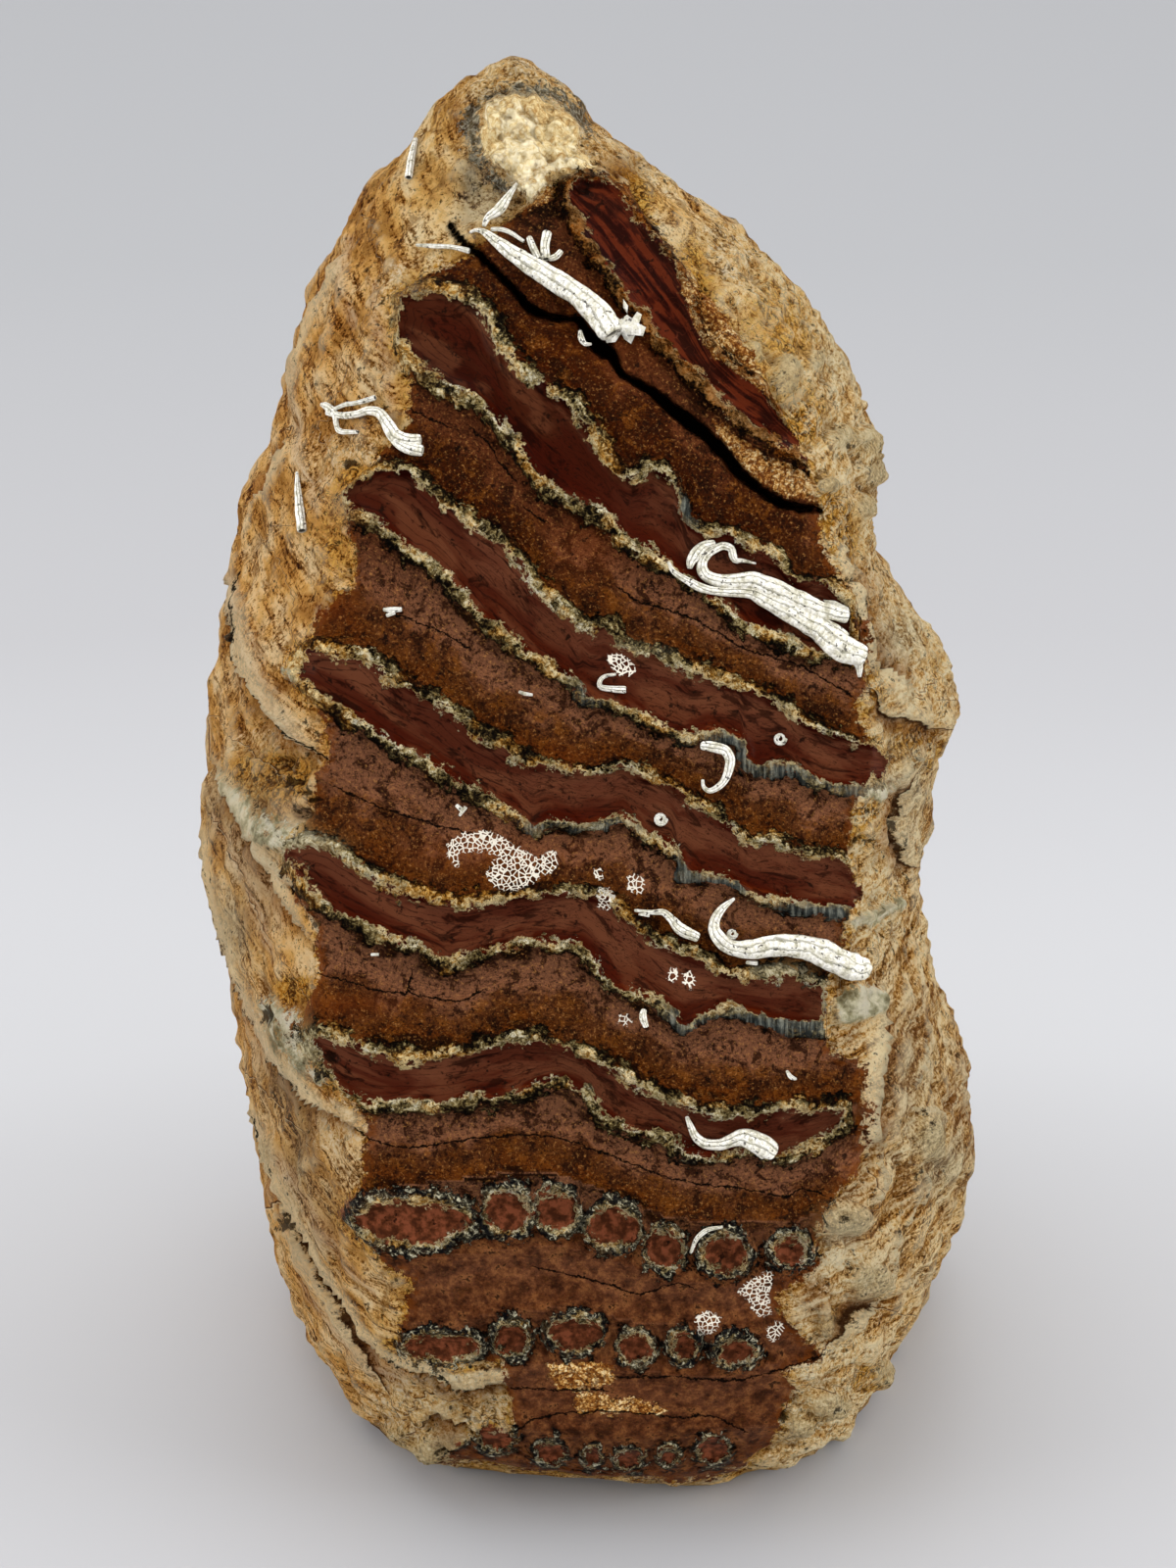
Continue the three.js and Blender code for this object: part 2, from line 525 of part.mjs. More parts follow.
// ---------------------------------------------------------------- parts
function meshOf(name, body, colour, roughness) {
  const { vertProperties, triVerts } = body.getMesh();
  const geometry = new THREE.BufferGeometry();
  geometry.setAttribute('position', new THREE.BufferAttribute(vertProperties, 3));
  geometry.setIndex(new THREE.BufferAttribute(triVerts, 1));
  const material = new THREE.MeshStandardMaterial({ color: colour, roughness, metalness: 0 });
  const mesh = new THREE.Mesh(geometry, material);
  mesh.name = name;
  return mesh;
}

const group = new THREE.Group();
group.add(meshOf('tooth', cutTooth(), 0x7a4a2a, 0.6));
const clearance = uncutTooth(TUBE_GAP);
for (const [name, line] of Object.entries(WORM_TUBES)) {
  group.add(meshOf(name, wormTube(line).subtract(clearance), 0xdcd9cc, 0.7));
}

export default group;
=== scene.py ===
"""A fossil mammoth molar standing on its rear end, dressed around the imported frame.

The tooth is one mesh. Its outlines are laid out on a sheet, as in the CAD source: x runs right
and y runs down in steps of STEP millimetres, the sheet leans back by LEAN, and lines of depth
behind it run together at SIGHT in front of it, where the camera stands. Fields measured on that
sheet, such as the distance to an enamel band, shape the surface and steer its material.
"""
import math
from types import SimpleNamespace

import bmesh
import bpy
import numpy as np
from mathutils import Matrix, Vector, noise


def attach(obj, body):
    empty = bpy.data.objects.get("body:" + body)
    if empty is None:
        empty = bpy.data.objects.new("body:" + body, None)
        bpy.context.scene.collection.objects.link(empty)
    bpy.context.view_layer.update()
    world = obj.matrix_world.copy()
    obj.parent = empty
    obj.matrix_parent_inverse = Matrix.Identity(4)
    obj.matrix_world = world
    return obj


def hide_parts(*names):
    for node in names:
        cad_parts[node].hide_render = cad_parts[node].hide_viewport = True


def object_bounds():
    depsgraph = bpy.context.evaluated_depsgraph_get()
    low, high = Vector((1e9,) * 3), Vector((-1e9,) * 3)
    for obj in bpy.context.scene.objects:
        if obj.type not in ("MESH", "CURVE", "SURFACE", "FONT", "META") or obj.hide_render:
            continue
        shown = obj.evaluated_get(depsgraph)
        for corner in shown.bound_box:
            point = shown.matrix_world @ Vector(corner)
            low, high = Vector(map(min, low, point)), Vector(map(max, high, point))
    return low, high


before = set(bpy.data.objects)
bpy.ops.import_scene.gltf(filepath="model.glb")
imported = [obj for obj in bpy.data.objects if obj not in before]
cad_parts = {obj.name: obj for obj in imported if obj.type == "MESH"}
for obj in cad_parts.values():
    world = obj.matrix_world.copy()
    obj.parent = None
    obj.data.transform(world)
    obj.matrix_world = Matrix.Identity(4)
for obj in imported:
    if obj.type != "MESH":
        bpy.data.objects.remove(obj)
CAD_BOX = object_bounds()

# ------------------------------------------------------------------ layout (mm unless said)
STEP = 0.135                  # one step of the sheet
MIDDLE = (600, 800)           # sheet point at the middle of the chewing face
LEAN = math.radians(23)       # how far the sheet leans back
SIGHT = 600.0                 # from the sheet to the camera
LIFT = 112.0                  # height of the sheet's middle over the floor
CENTRE = (0.18, 40.46)        # x and y of the middle of the tooth's box
MM = 0.001                    # millimetres to Blender's metres

EDGE_DROP = 3.0               # how far the face's sides lie behind its middle
ENAMEL_RISE = 0.5
POOL_DEPTH = 1.3
CEMENT_DISH = 0.8             # how far the cement sinks between two plates
MOAT_DEPTH = 0.4              # of the groove round each enamel band
CRACK_DEPTH = 9.0
PLATE_RISE = 1.8              # of the broken plate on top
TOP_RIM_DEPTH = 1.0
SHELL_RISE = 0.7
RIM_RISE = 0.7
BOX_MARGIN = 1.0              # from here to the side of the CAD box the surface is drawn in
BLUR_REACH = 5                # columns and rows to each side
RIB_WINDOW = 90               # sheet steps up and down over which an outline is smoothed
RIB_SLOPE_LEFT = (0.55, 0.9)  # how steeply the ribs run back, higher up and lower down
RIB_SLOPE_RIGHT = (0.4, 0.5)
DEEPEST_LEDGE = 3.2

ROW_COUNT = 362
FACE_COLUMNS = 146
WALL_COLUMNS = 42
REAR_COLUMNS = 18

# ------------------------------------------------------------------ outlines, in sheet steps
# Outlines and face edges as (x, y), depths in mm as (y, depth).
LEFT_OUTLINE = [(521, 57), (499, 64), (476, 76), (458, 90), (443, 105), (432, 122),
    (405, 157), (380, 178), (350, 215), (334, 260), (315, 289), (292, 337), (290, 367),
    (273, 425), (271, 461), (238, 511), (233, 547), (236, 597), (222, 616), (210, 662),
    (207, 702), (213, 750), (209, 774), (197, 812), (202, 854), (207, 885), (219, 934),
    (220, 972), (237, 1064), (250, 1108), (244, 1120), (248, 1153), (263, 1195), (276, 1282),
    (308, 1362), (349, 1424), (380, 1463), (423, 1489), (462, 1500), (530, 1507), (600, 1513),
    (650, 1518)]
RIGHT_OUTLINE = [(525, 57), (543, 61), (564, 74), (583, 90), (600, 105), (605, 122),
    (629, 138), (680, 174), (735, 216), (783, 252), (827, 302), (863, 356), (888, 412),
    (881, 430), (900, 458), (903, 475), (901, 504), (890, 520), (884, 537), (896, 560),
    (935, 619), (974, 670), (984, 721), (965, 758), (947, 785), (951, 823), (937, 858),
    (933, 886), (947, 970), (972, 1044), (990, 1091), (995, 1170), (977, 1253), (936, 1337),
    (905, 1388), (903, 1406), (862, 1460), (831, 1480), (804, 1494), (760, 1506), (725, 1514),
    (700, 1518)]
FACE_LEFT = [(523, 57), (512, 64), (490, 80), (474, 110), (458, 200), (425, 270), (405, 340),
    (395, 430), (365, 500), (350, 580), (325, 650), (318, 760), (308, 860), (312, 960),
    (322, 1050), (352, 1130), (362, 1220), (392, 1300), (412, 1370), (445, 1430), (480, 1475),
    (520, 1497), (580, 1508), (655, 1518)]
FACE_RIGHT = [(524, 57), (536, 64), (555, 80), (585, 110), (640, 190), (700, 270), (760, 340),
    (800, 410), (838, 480), (846, 540), (868, 610), (884, 690), (890, 780), (872, 860),
    (868, 960), (868, 1060), (880, 1130), (862, 1220), (846, 1300), (838, 1370), (815, 1430),
    (780, 1470), (745, 1494), (718, 1508), (695, 1518)]
FRONT_DEPTH = [(57, 38), (60, 33.5), (66, 29.5), (80, 26), (110, 22), (150, 19), (200, 15.5),
    (300, 8), (400, 3.5), (500, 1), (600, 0), (1000, 0), (1100, 0.8), (1200, 3), (1300, 7.5),
    (1400, 14), (1460, 20), (1490, 25), (1505, 29.5), (1518, 35.5)]
GIRTH_DEPTH = [(57, 38.5), (100, 38), (168, 40), (318, 44), (547, 48), (764, 50), (968, 54),
    (1192, 60), (1300, 62), (1400, 56), (1480, 43), (1518, 37)]
BACK_DEPTH = [(57, 39), (62, 43), (80, 48), (120, 54), (168, 60), (318, 75), (547, 93),
    (764, 108), (968, 120), (1192, 134), (1400, 145), (1518, 150)]
# Root stubs and hollows of the back: (x, y, rise in mm, radius in mm).
STUBS = [(430, 330, 3.5, 10), (760, 340, 3.0, 10), (385, 560, 4.5, 12), (800, 590, 4.0, 12),
    (370, 800, 5.0, 13), (830, 830, 4.5, 13), (380, 1040, 4.5, 12), (810, 1060, 5.0, 12),
    (600, 680, -4.0, 17), (600, 930, -4.5, 17)]

# Edge between the dark worn face and the tan side walls.
WORN_EDGE = [(478, 262), (440, 275), (398, 300), (400, 350), (418, 390), (415, 438), (380, 470),
    (345, 500), (358, 555), (362, 600), (345, 605), (322, 630), (318, 650), (296, 665),
    (300, 700), (333, 735), (335, 775), (322, 790), (320, 830), (290, 856), (286, 880),
    (305, 920), (322, 950), (326, 992), (320, 1012), (308, 1030), (300, 1060), (330, 1100),
    (377, 1140), (372, 1190), (369, 1211), (340, 1240), (390, 1290), (423, 1307), (411, 1349),
    (402, 1380), (440, 1396), (512, 1390), (519, 1425), (523, 1460), (485, 1461), (450, 1484),
    (520, 1500), (600, 1508), (700, 1512), (755, 1500), (790, 1470), (800, 1440), (815, 1420),
    (800, 1400), (837, 1383), (800, 1345), (793, 1322), (836, 1294), (834, 1258), (842, 1233), (857, 1215),
    (880, 1187), (882, 1115), (878, 1086), (846, 1072), (841, 1040), (845, 994), (864, 962),
    (861, 944), (880, 912), (868, 896), (866, 850), (872, 816), (900, 800), (914, 772),
    (880, 745), (872, 719), (886, 703), (886, 648), (867, 601), (850, 580), (835, 545),
    (838, 520), (825, 470), (812, 445), (775, 372), (735, 318), (695, 262), (640, 190),
    (600, 168), (560, 190), (520, 220)]

# Worn plates, each as the middle line of its upper and lower enamel band: (x, y, width).
PLATES = [
    ([(578, 180, 12), (615, 178, 14), (640, 200, 14), (660, 228, 14), (682, 255, 12),
      (700, 285, 12), (712, 320, 10), (725, 348, 10), (750, 372, 10), (778, 388, 10),
      (792, 412, 10), (812, 432, 12), (835, 452, 14)],
     [(575, 205, 20), (600, 250, 22), (632, 298, 20), (652, 322, 20), (672, 350, 20),
      (695, 373, 20), (740, 418, 24), (765, 440, 24), (795, 458, 26), (824, 476, 22)]),
    ([(400, 330, 24), (404, 300, 20), (440, 292, 22), (480, 300, 22), (503, 325, 24),
      (512, 350, 26), (535, 375, 26), (565, 395, 24), (590, 415, 26), (607, 440, 26),
      (625, 470, 28), (645, 484, 24), (665, 472, 22), (687, 487, 14), (697, 508, 12),
      (700, 527, 16), (720, 541, 20), (745, 540, 18), (770, 555, 22), (795, 568, 22),
      (812, 588, 16), (840, 592, 14), (872, 612, 12)],
     [(399, 343, 20), (424, 377, 22), (453, 397, 24), (480, 408, 22), (503, 429, 20),
      (519, 452, 22), (540, 478, 24), (563, 504, 24), (590, 518, 22), (620, 532, 26),
      (638, 556, 24), (665, 570, 24), (690, 588, 18), (717, 607, 18), (740, 625, 16),
      (765, 643, 22), (800, 657, 22), (835, 670, 24), (872, 674, 14)]),
    ([(350, 518, 20), (350, 500, 18), (362, 486, 16), (392, 474, 14), (418, 478, 16),
      (438, 494, 18), (460, 514, 22), (485, 533, 22), (510, 549, 24), (530, 568, 24),
      (548, 594, 22), (568, 612, 24), (588, 628, 20), (602, 640, 16), (618, 632, 18),
      (630, 646, 22), (650, 660, 24), (680, 668, 26), (705, 680, 22), (735, 690, 22),
      (770, 703, 18), (800, 716, 18), (822, 735, 20), (850, 746, 14), (905, 765, 12)],
     [(348, 524, 20), (362, 526, 20), (385, 537, 22), (410, 560, 22), (440, 578, 22),
      (457, 598, 24), (480, 622, 22), (505, 643, 22), (530, 665, 22), (555, 681, 24),
      (580, 694, 20), (592, 702, 14), (590, 716, 14), (610, 717, 18), (640, 728, 20),
      (670, 741, 20), (700, 755, 18), (725, 750, 20), (757, 758, 18), (757, 776, 20),
      (772, 787, 20), (800, 782, 18), (825, 794, 18), (850, 804, 20), (880, 808, 22),
      (912, 796, 16)]),
    ([(294, 678, 26), (305, 664, 26), (320, 660, 26), (350, 662, 26), (378, 668, 24),
      (400, 688, 22), (425, 703, 20), (450, 714, 20), (470, 728, 24), (490, 747, 24),
      (515, 758, 22), (540, 772, 24), (570, 781, 16), (600, 785, 14), (635, 780, 12),
      (660, 788, 16), (690, 802, 16), (720, 822, 16), (750, 842, 16), (765, 858, 14),
      (790, 855, 16), (825, 868, 18), (860, 874, 14), (886, 890, 12)],
     [(294, 692, 26), (312, 704, 22), (340, 725, 22), (370, 742, 22), (400, 761, 22),
      (428, 777, 22), (455, 797, 22), (485, 813, 20), (515, 827, 18), (533, 840, 20),
      (543, 850, 16), (560, 838, 16), (590, 844, 18), (620, 842, 16), (635, 836, 14),
      (660, 856, 18), (685, 868, 16), (696, 882, 12), (693, 896, 18), (715, 896, 18),
      (740, 900, 20), (770, 914, 20), (805, 925, 20), (840, 930, 20), (884, 936, 18)]),
    ([(288, 864, 20), (300, 860, 22), (318, 857, 20), (340, 862, 22), (362, 878, 22),
      (390, 893, 24), (420, 906, 24), (450, 914, 26), (480, 918, 24), (515, 914, 16),
      (550, 910, 14), (590, 908, 14), (620, 913, 16), (640, 932, 18), (665, 952, 18),
      (695, 966, 20), (722, 977, 20), (740, 991, 16), (775, 992, 22), (815, 993, 20),
      (846, 1004, 14)],
     [(288, 876, 20), (298, 890, 22), (318, 918, 22), (345, 936, 20), (375, 950, 22),
      (405, 962, 20), (435, 973, 20), (455, 985, 20), (475, 980, 18), (510, 970, 14),
      (545, 962, 14), (572, 966, 18), (595, 970, 18), (610, 992, 18), (630, 1012, 18),
      (660, 1020, 18), (680, 1034, 18), (697, 1050, 22), (715, 1042, 20), (740, 1030, 18),
      (765, 1037, 18), (800, 1048, 20), (846, 1052, 18)]),
    ([(314, 1062, 24), (322, 1050, 24), (345, 1056, 24), (375, 1066, 24), (405, 1075, 22),
      (435, 1076, 20), (465, 1072, 18), (495, 1064, 20), (525, 1054, 20), (560, 1062, 20),
      (595, 1072, 18), (625, 1086, 20), (655, 1106, 22), (690, 1120, 20), (720, 1132, 20),
      (745, 1134, 24), (780, 1130, 22), (820, 1127, 22), (866, 1126, 18)],
     [(316, 1076, 22), (326, 1092, 20), (340, 1108, 20), (360, 1124, 20), (385, 1131, 20),
      (420, 1129, 18), (455, 1130, 18), (490, 1123, 20), (525, 1121, 20), (550, 1110, 18),
      (575, 1104, 16), (597, 1118, 18), (610, 1138, 18), (640, 1154, 18), (675, 1161, 20),
      (700, 1181, 22), (735, 1182, 18), (765, 1176, 16), (795, 1184, 18), (830, 1172, 20),
      (866, 1150, 16)]),
]

# Finger rings of the barely worn rear plates: (x, y, outer half axes, inner half axes).
RINGS = [
    (420, 1247, 76, 39, 54, 18), (518, 1236, 33, 38, 22, 16), (568, 1234, 28, 36, 20, 15),
    (626, 1252, 34, 34, 25, 16), (678, 1274, 27, 32, 18, 16), (740, 1279, 34, 32, 21, 16),
    (807, 1275, 28, 27, 15, 11), (856, 1243, 17, 17, 7, 7),
    (452, 1375, 50, 25, 36, 11), (522, 1366, 25, 28, 15, 12), (587, 1361, 36, 28, 25, 14),
    (649, 1375, 24, 26, 15, 12), (697, 1374, 21, 24, 11, 11), (751, 1379, 29, 25, 18, 10),
    (462, 1466, 22, 15, 9, 6), (506, 1468, 27, 20, 15, 9), (562, 1482, 24, 18, 13, 8),
    (604, 1486, 15, 17, 7, 7), (642, 1489, 21, 17, 13, 8), (683, 1486, 16, 17, 8, 7),
    (727, 1480, 24, 20, 15, 10),
]
# Upper and lower edges of the three ring rows, which split the cement between them.
RING_ROWS = [
    ([(340, 1225), (420, 1208), (520, 1197), (570, 1198), (626, 1218), (680, 1242),
      (740, 1247), (807, 1248), (860, 1226)],
     [(340, 1262), (420, 1286), (520, 1274), (570, 1270), (626, 1286), (680, 1306),
      (740, 1311), (807, 1302), (860, 1260)]),
    ([(390, 1352), (450, 1350), (522, 1338), (587, 1333), (650, 1349), (751, 1354),
      (790, 1365)],
     [(390, 1395), (450, 1400), (522, 1394), (587, 1389), (650, 1401), (751, 1404),
      (790, 1390)]),
    ([(440, 1450), (506, 1448), (562, 1464), (640, 1472), (727, 1460), (770, 1455)],
     [(440, 1480), (506, 1490), (562, 1500), (640, 1506), (727, 1500), (770, 1490)]),
]

# Open crack behind the first plate: (x, y, width).
CRACK = [(457, 226, 3), (472, 246, 4), (488, 259, 5), (504, 275, 5), (523, 294, 6), (539, 313, 8),
    (559, 323, 7), (575, 325, 6), (591, 326, 7), (600, 342, 12), (613, 355, 16), (626, 365, 10),
    (634, 381, 7), (649, 390, 6), (665, 400, 8), (684, 416, 11), (702, 430, 14), (722, 446, 12),
    (738, 462, 12), (757, 485, 9), (776, 500, 8), (800, 515, 8), (838, 520, 4)]

# Fine dry cracks, 2 to 4 steps wide.
HAIRLINES = [
    [(420, 418), (455, 435)], [(480, 436), (500, 455), (512, 475), (525, 490)],
    [(538, 520), (556, 532)], [(395, 625), (420, 633), (450, 645), (478, 660)],
    [(345, 805), (380, 820), (410, 832), (450, 843), (480, 850)],
    [(326, 994), (346, 999), (391, 1012), (413, 1014), (465, 1021), (491, 1012)],
    [(415, 1014), (420, 994)],
    [(333, 1137), (356, 1151), (384, 1165), (413, 1171), (452, 1167), (498, 1160),
     (544, 1158), (583, 1165), (618, 1177), (652, 1190), (682, 1202), (710, 1207),
     (755, 1213), (801, 1220), (817, 1213), (838, 1219)],
    [(549, 1294), (583, 1301), (618, 1310), (650, 1321), (687, 1310), (705, 1314)],
    [(257, 1140), (285, 1240), (324, 1319), (340, 1337), (370, 1370), (400, 1390),
     (433, 1401), (456, 1403), (469, 1418), (522, 1417), (572, 1418), (615, 1419)],
    [(629, 1405), (692, 1405), (751, 1408), (794, 1398), (837, 1383)],
    [(522, 1463), (552, 1446), (592, 1441), (638, 1441), (692, 1446), (731, 1446),
     (758, 1459)],
    [(631, 600), (652, 613), (699, 628), (730, 644), (758, 661), (822, 682), (869, 711)],
    [(243, 583), (247, 663), (272, 721), (305, 757), (333, 774)],
    [(250, 845), (272, 900), (296, 940)],
]

# Ledges of the side walls: points, how far the upper right side stands over the other in mm,
# and how far from the line that fades out in mm.
LEDGES = [
    ([(350, 245), (338, 275), (322, 300), (308, 330), (298, 360), (292, 390), (286, 430)],
     1.8, 5),
    ([(290, 438), (284, 460), (276, 480), (262, 500), (250, 520)], 1.4, 3),
    ([(220, 572), (236, 597), (240, 630), (245, 660), (255, 690), (268, 715), (283, 735),
      (300, 757), (332, 774)], 3.2, 7),
    ([(204, 764), (222, 788), (234, 806), (248, 835), (260, 862), (272, 885), (284, 915),
      (300, 942), (322, 972)], 2.4, 4),
    ([(190, 825), (205, 855), (215, 900), (225, 940), (243, 1010), (258, 1045), (275, 1075),
      (300, 1108), (335, 1138), (384, 1162)], 3.0, 6),
    ([(234, 1085), (246, 1115), (255, 1145), (272, 1190), (292, 1240), (320, 1300), (345, 1335),
      (372, 1370), (400, 1392), (440, 1402), (470, 1418), (522, 1417), (572, 1418)], 2.0, 5),
    ([(262, 1185), (285, 1250), (312, 1300), (350, 1368), (395, 1440)], -1.4, 4),
    ([(425, 1458), (440, 1450), (462, 1456), (500, 1466)], 1.2, 2),
    ([(868, 540), (866, 575), (876, 600), (886, 640), (896, 672), (920, 696), (938, 715)],
     -2.2, 3),
    ([(886, 690), (905, 725), (930, 735), (950, 745), (975, 742)], 0.9, 6),
    ([(935, 790), (920, 820), (912, 850), (924, 880), (934, 884)], 1.2, 3),
    ([(893, 1000), (896, 1050), (892, 1100), (888, 1160), (892, 1200)], -2.0, 3),
    ([(838, 1384), (862, 1352), (880, 1335), (905, 1338)], -1.6, 4),
]
# Thin shell-like rims on the side walls: (x, y, width).
RIMS = [
    [(903, 1010, 3), (896, 1050, 4), (891, 1090, 3), (886, 1140, 4), (884, 1180, 3)],
    [(898, 1145, 4), (904, 1170, 4), (901, 1200, 4), (893, 1220, 3)],
    [(943, 1060, 2), (942, 1090, 3), (936, 1110, 2)],
    [(936, 1130, 4), (950, 1133, 8), (962, 1140, 8), (962, 1150, 4)],
    [(928, 1185, 2), (942, 1200, 4), (944, 1215, 3), (940, 1228, 2)],
    [(935, 1215, 3), (932, 1235, 4), (922, 1250, 3)],
    [(913, 1258, 4), (911, 1290, 4), (905, 1315, 5), (893, 1330, 5), (882, 1336, 3)],
    [(278, 1016, 3), (290, 1034, 5), (303, 1058, 5), (322, 1080, 5), (340, 1098, 4)],
    [(256, 852, 5), (276, 880, 6), (300, 905, 5), (316, 935, 4), (330, 960, 3)],
    [(286, 1096, 3), (306, 1114, 4), (330, 1134, 3)],
    [(244, 650, 4), (256, 690, 5), (280, 725, 5), (304, 752, 3)],
    [(858, 940, 3), (880, 936, 5), (905, 922, 4)],
    [(918, 800, 2), (928, 780, 3), (942, 772, 3)],
]
# Rounded crystalline growths: (x, y, half width, half height, rise in mm).
PEARLS = [(437, 1478, 17, 15, 1.3), (464, 1482, 15, 13, 1.2), (506, 1468, 13, 10, 0.9),
    (886, 452, 16, 20, 2.2), (892, 482, 14, 18, 2.0), (802, 384, 14, 24, 2.0),
    (834, 368, 10, 12, 1.4), (742, 346, 16, 14, 1.6), (720, 318, 12, 14, 1.2),
    (845, 495, 12, 9, 1.6), (862, 1242, 24, 18, 1.6), (884, 1308, 22, 24, 2.0),
    (844, 1432, 20, 18, 2.0), (816, 1450, 14, 12, 1.2), (866, 1032, 26, 14, 1.0), (946, 1160, 16, 26, 1.4),
    (850, 1352, 16, 16, 1.2), (900, 1400, 14, 16, 1.2), (862, 446, 16, 14, 1.4),
    (770, 356, 18, 12, 1.0),
    (455, 1472, 26, 16, 1.6), (405, 1470, 20, 14, 0.8), (270, 1180, 14, 24, 0.8),
    (884, 516, 10, 14, 1.2)]
# Pits broken into the walls: (x, y, half width, half height, depth in mm).
PITS = [(277, 778, 10, 12, 2.0), (308, 830, 18, 8, 1.6), (322, 816, 16, 5, 1.4),
    (252, 700, 10, 10, 0.9), (269, 720, 6, 9, 1.0), (290, 798, 26, 5, 0.8),
    (306, 808, 16, 5, 0.8), (338, 1078, 12, 9, 1.5), (295, 1110, 16, 10, 0.8),
    (594, 190, 12, 12, 1.6), (868, 592, 8, 6, 1.0), (858, 1240, 6, 6, 1.4),
    (456, 1476, 7, 6, 1.2), (284, 1250, 10, 12, 0.6), (273, 1035, 12, 14, 0.8),
    (912, 842, 6, 10, 0.8), (880, 858, 14, 6, 0.7), (842, 1430, 5, 5, 0.8),
    (800, 1446, 8, 8, 0.8), (866, 455, 8, 5, 0.8), (352, 470, 14, 8, 0.6)]
# Pale ends of the plates' enamel where they come out on the side walls: closed outlines.
SHELLS = [
    [(226, 790), (240, 798), (252, 815), (266, 838), (282, 852), (300, 862), (286, 868),
     (270, 862), (254, 848), (240, 825), (230, 808)],
    [(262, 826), (280, 838), (300, 846), (318, 850), (322, 862), (308, 868), (290, 866),
     (276, 852)],
    [(282, 1018), (300, 1036), (330, 1034), (352, 1046), (345, 1060), (322, 1062), (312, 1070),
     (318, 1085), (340, 1100), (330, 1108), (306, 1086), (292, 1060)],
    [(288, 684), (300, 680), (312, 690), (330, 712), (345, 724), (330, 722), (310, 706),
     (295, 696)],
    [(262, 1020), (276, 1026), (290, 1046), (300, 1068), (290, 1072), (274, 1052)],
    [(868, 798), (900, 800), (920, 806), (905, 814), (880, 816), (866, 812)],
    [(866, 938), (890, 930), (912, 916), (918, 924), (896, 944), (870, 950)],
    [(850, 1020), (870, 1006), (900, 1010), (896, 1030), (876, 1042), (856, 1044)],
]
# Streaks of pinkish fibres on the walls: (x, y, width).
STREAKS = [
    [(236, 590, 14), (248, 625, 20), (262, 670, 24), (280, 715, 24), (304, 755, 14)],
    [(350, 240, 12), (345, 280, 18), (355, 330, 10)],
    [(378, 290, 16), (385, 340, 20), (395, 400, 18), (400, 440, 10)],
    [(298, 370, 14), (296, 420, 18), (306, 470, 16), (320, 520, 14)],
    [(238, 822, 8), (256, 850, 13), (274, 878, 14), (296, 905, 14), (316, 935, 10),
     (330, 962, 5)],
    [(214, 830, 6), (240, 880, 14), (262, 940, 14), (276, 980, 10)],
    [(222, 940, 8), (238, 990, 12), (260, 1040, 12), (285, 1085, 12), (310, 1115, 8)],
    [(252, 1135, 10), (275, 1170, 14), (310, 1230, 16), (345, 1285, 14), (380, 1320, 10)],
    [(300, 1310, 8), (335, 1360, 12), (370, 1400, 14), (410, 1430, 10)],
]
# The creamy broken plate at the top, and the dark and grey rim round it.
TOP_PLATE = [(497, 104), (515, 99), (545, 97), (568, 100), (582, 112), (592, 128), (592, 142),
    (584, 150), (603, 158), (612, 168), (590, 172), (564, 176), (550, 190), (540, 202),
    (532, 188), (520, 172), (503, 162), (492, 148), (489, 130), (492, 114)]
TOP_RIM = [(516, 196, 5), (506, 184, 9), (494, 172, 5), (484, 158, 12), (480, 142, 14),
    (478, 126, 17), (480, 112, 12), (488, 98, 5), (504, 90, 4), (522, 86, 6), (538, 86, 4),
    (552, 88, 8), (570, 94, 12), (586, 104, 14), (597, 116, 15), (603, 130, 12)]

# Tan crumbs of cement and broken enamel left on the face: closed outlines.
TAN_CEMENT = [
    [(558, 1392), (579, 1390), (626, 1392), (627, 1410), (605, 1418), (571, 1418), (560, 1405)],
    [(589, 1424), (605, 1418), (631, 1426), (662, 1431), (683, 1439), (673, 1444), (641, 1442),
     (605, 1442), (586, 1437)],
    [(498, 202), (530, 190), (560, 182), (578, 176), (584, 186), (566, 202), (545, 210),
     (520, 216), (503, 216)],
    [(690, 258), (738, 318), (780, 372), (806, 425), (778, 397), (748, 378), (720, 354),
     (706, 322), (694, 290)],
    [(728, 428), (765, 454), (800, 472), (835, 490), (852, 505), (835, 512), (800, 506),
     (776, 492), (757, 474), (738, 452)],
]

# Lacy crusts grown on the face: closed outlines.
CRUSTS = [
    [(456, 862), (470, 850), (500, 848), (520, 858), (545, 874), (566, 866), (570, 884),
     (546, 900), (525, 910), (504, 906), (493, 890), (508, 874), (495, 866), (478, 872),
     (468, 868), (466, 886), (459, 880)],
    [(620, 668), (634, 666), (648, 684), (640, 692), (630, 686), (622, 680)],
    [(768, 1302), (790, 1296), (784, 1318), (788, 1340), (772, 1344), (764, 1326), (752, 1318)],
    [(708, 1340), (722, 1336), (738, 1344), (730, 1362), (712, 1360)],
    [(780, 1356), (796, 1346), (800, 1356), (786, 1374)],
    [(632, 1036), (640, 1032), (645, 1040), (638, 1048), (631, 1044)],
    [(681, 990), (688, 986), (694, 994), (688, 1002), (681, 999)],
    [(697, 996), (704, 992), (712, 1000), (705, 1010), (697, 1006)],
    [(640, 894), (650, 890), (660, 900), (654, 912), (642, 910)],
    [(608, 908), (620, 904), (628, 914), (622, 928), (610, 926)],
    [(605, 888), (613, 886), (618, 898), (610, 902)],
]

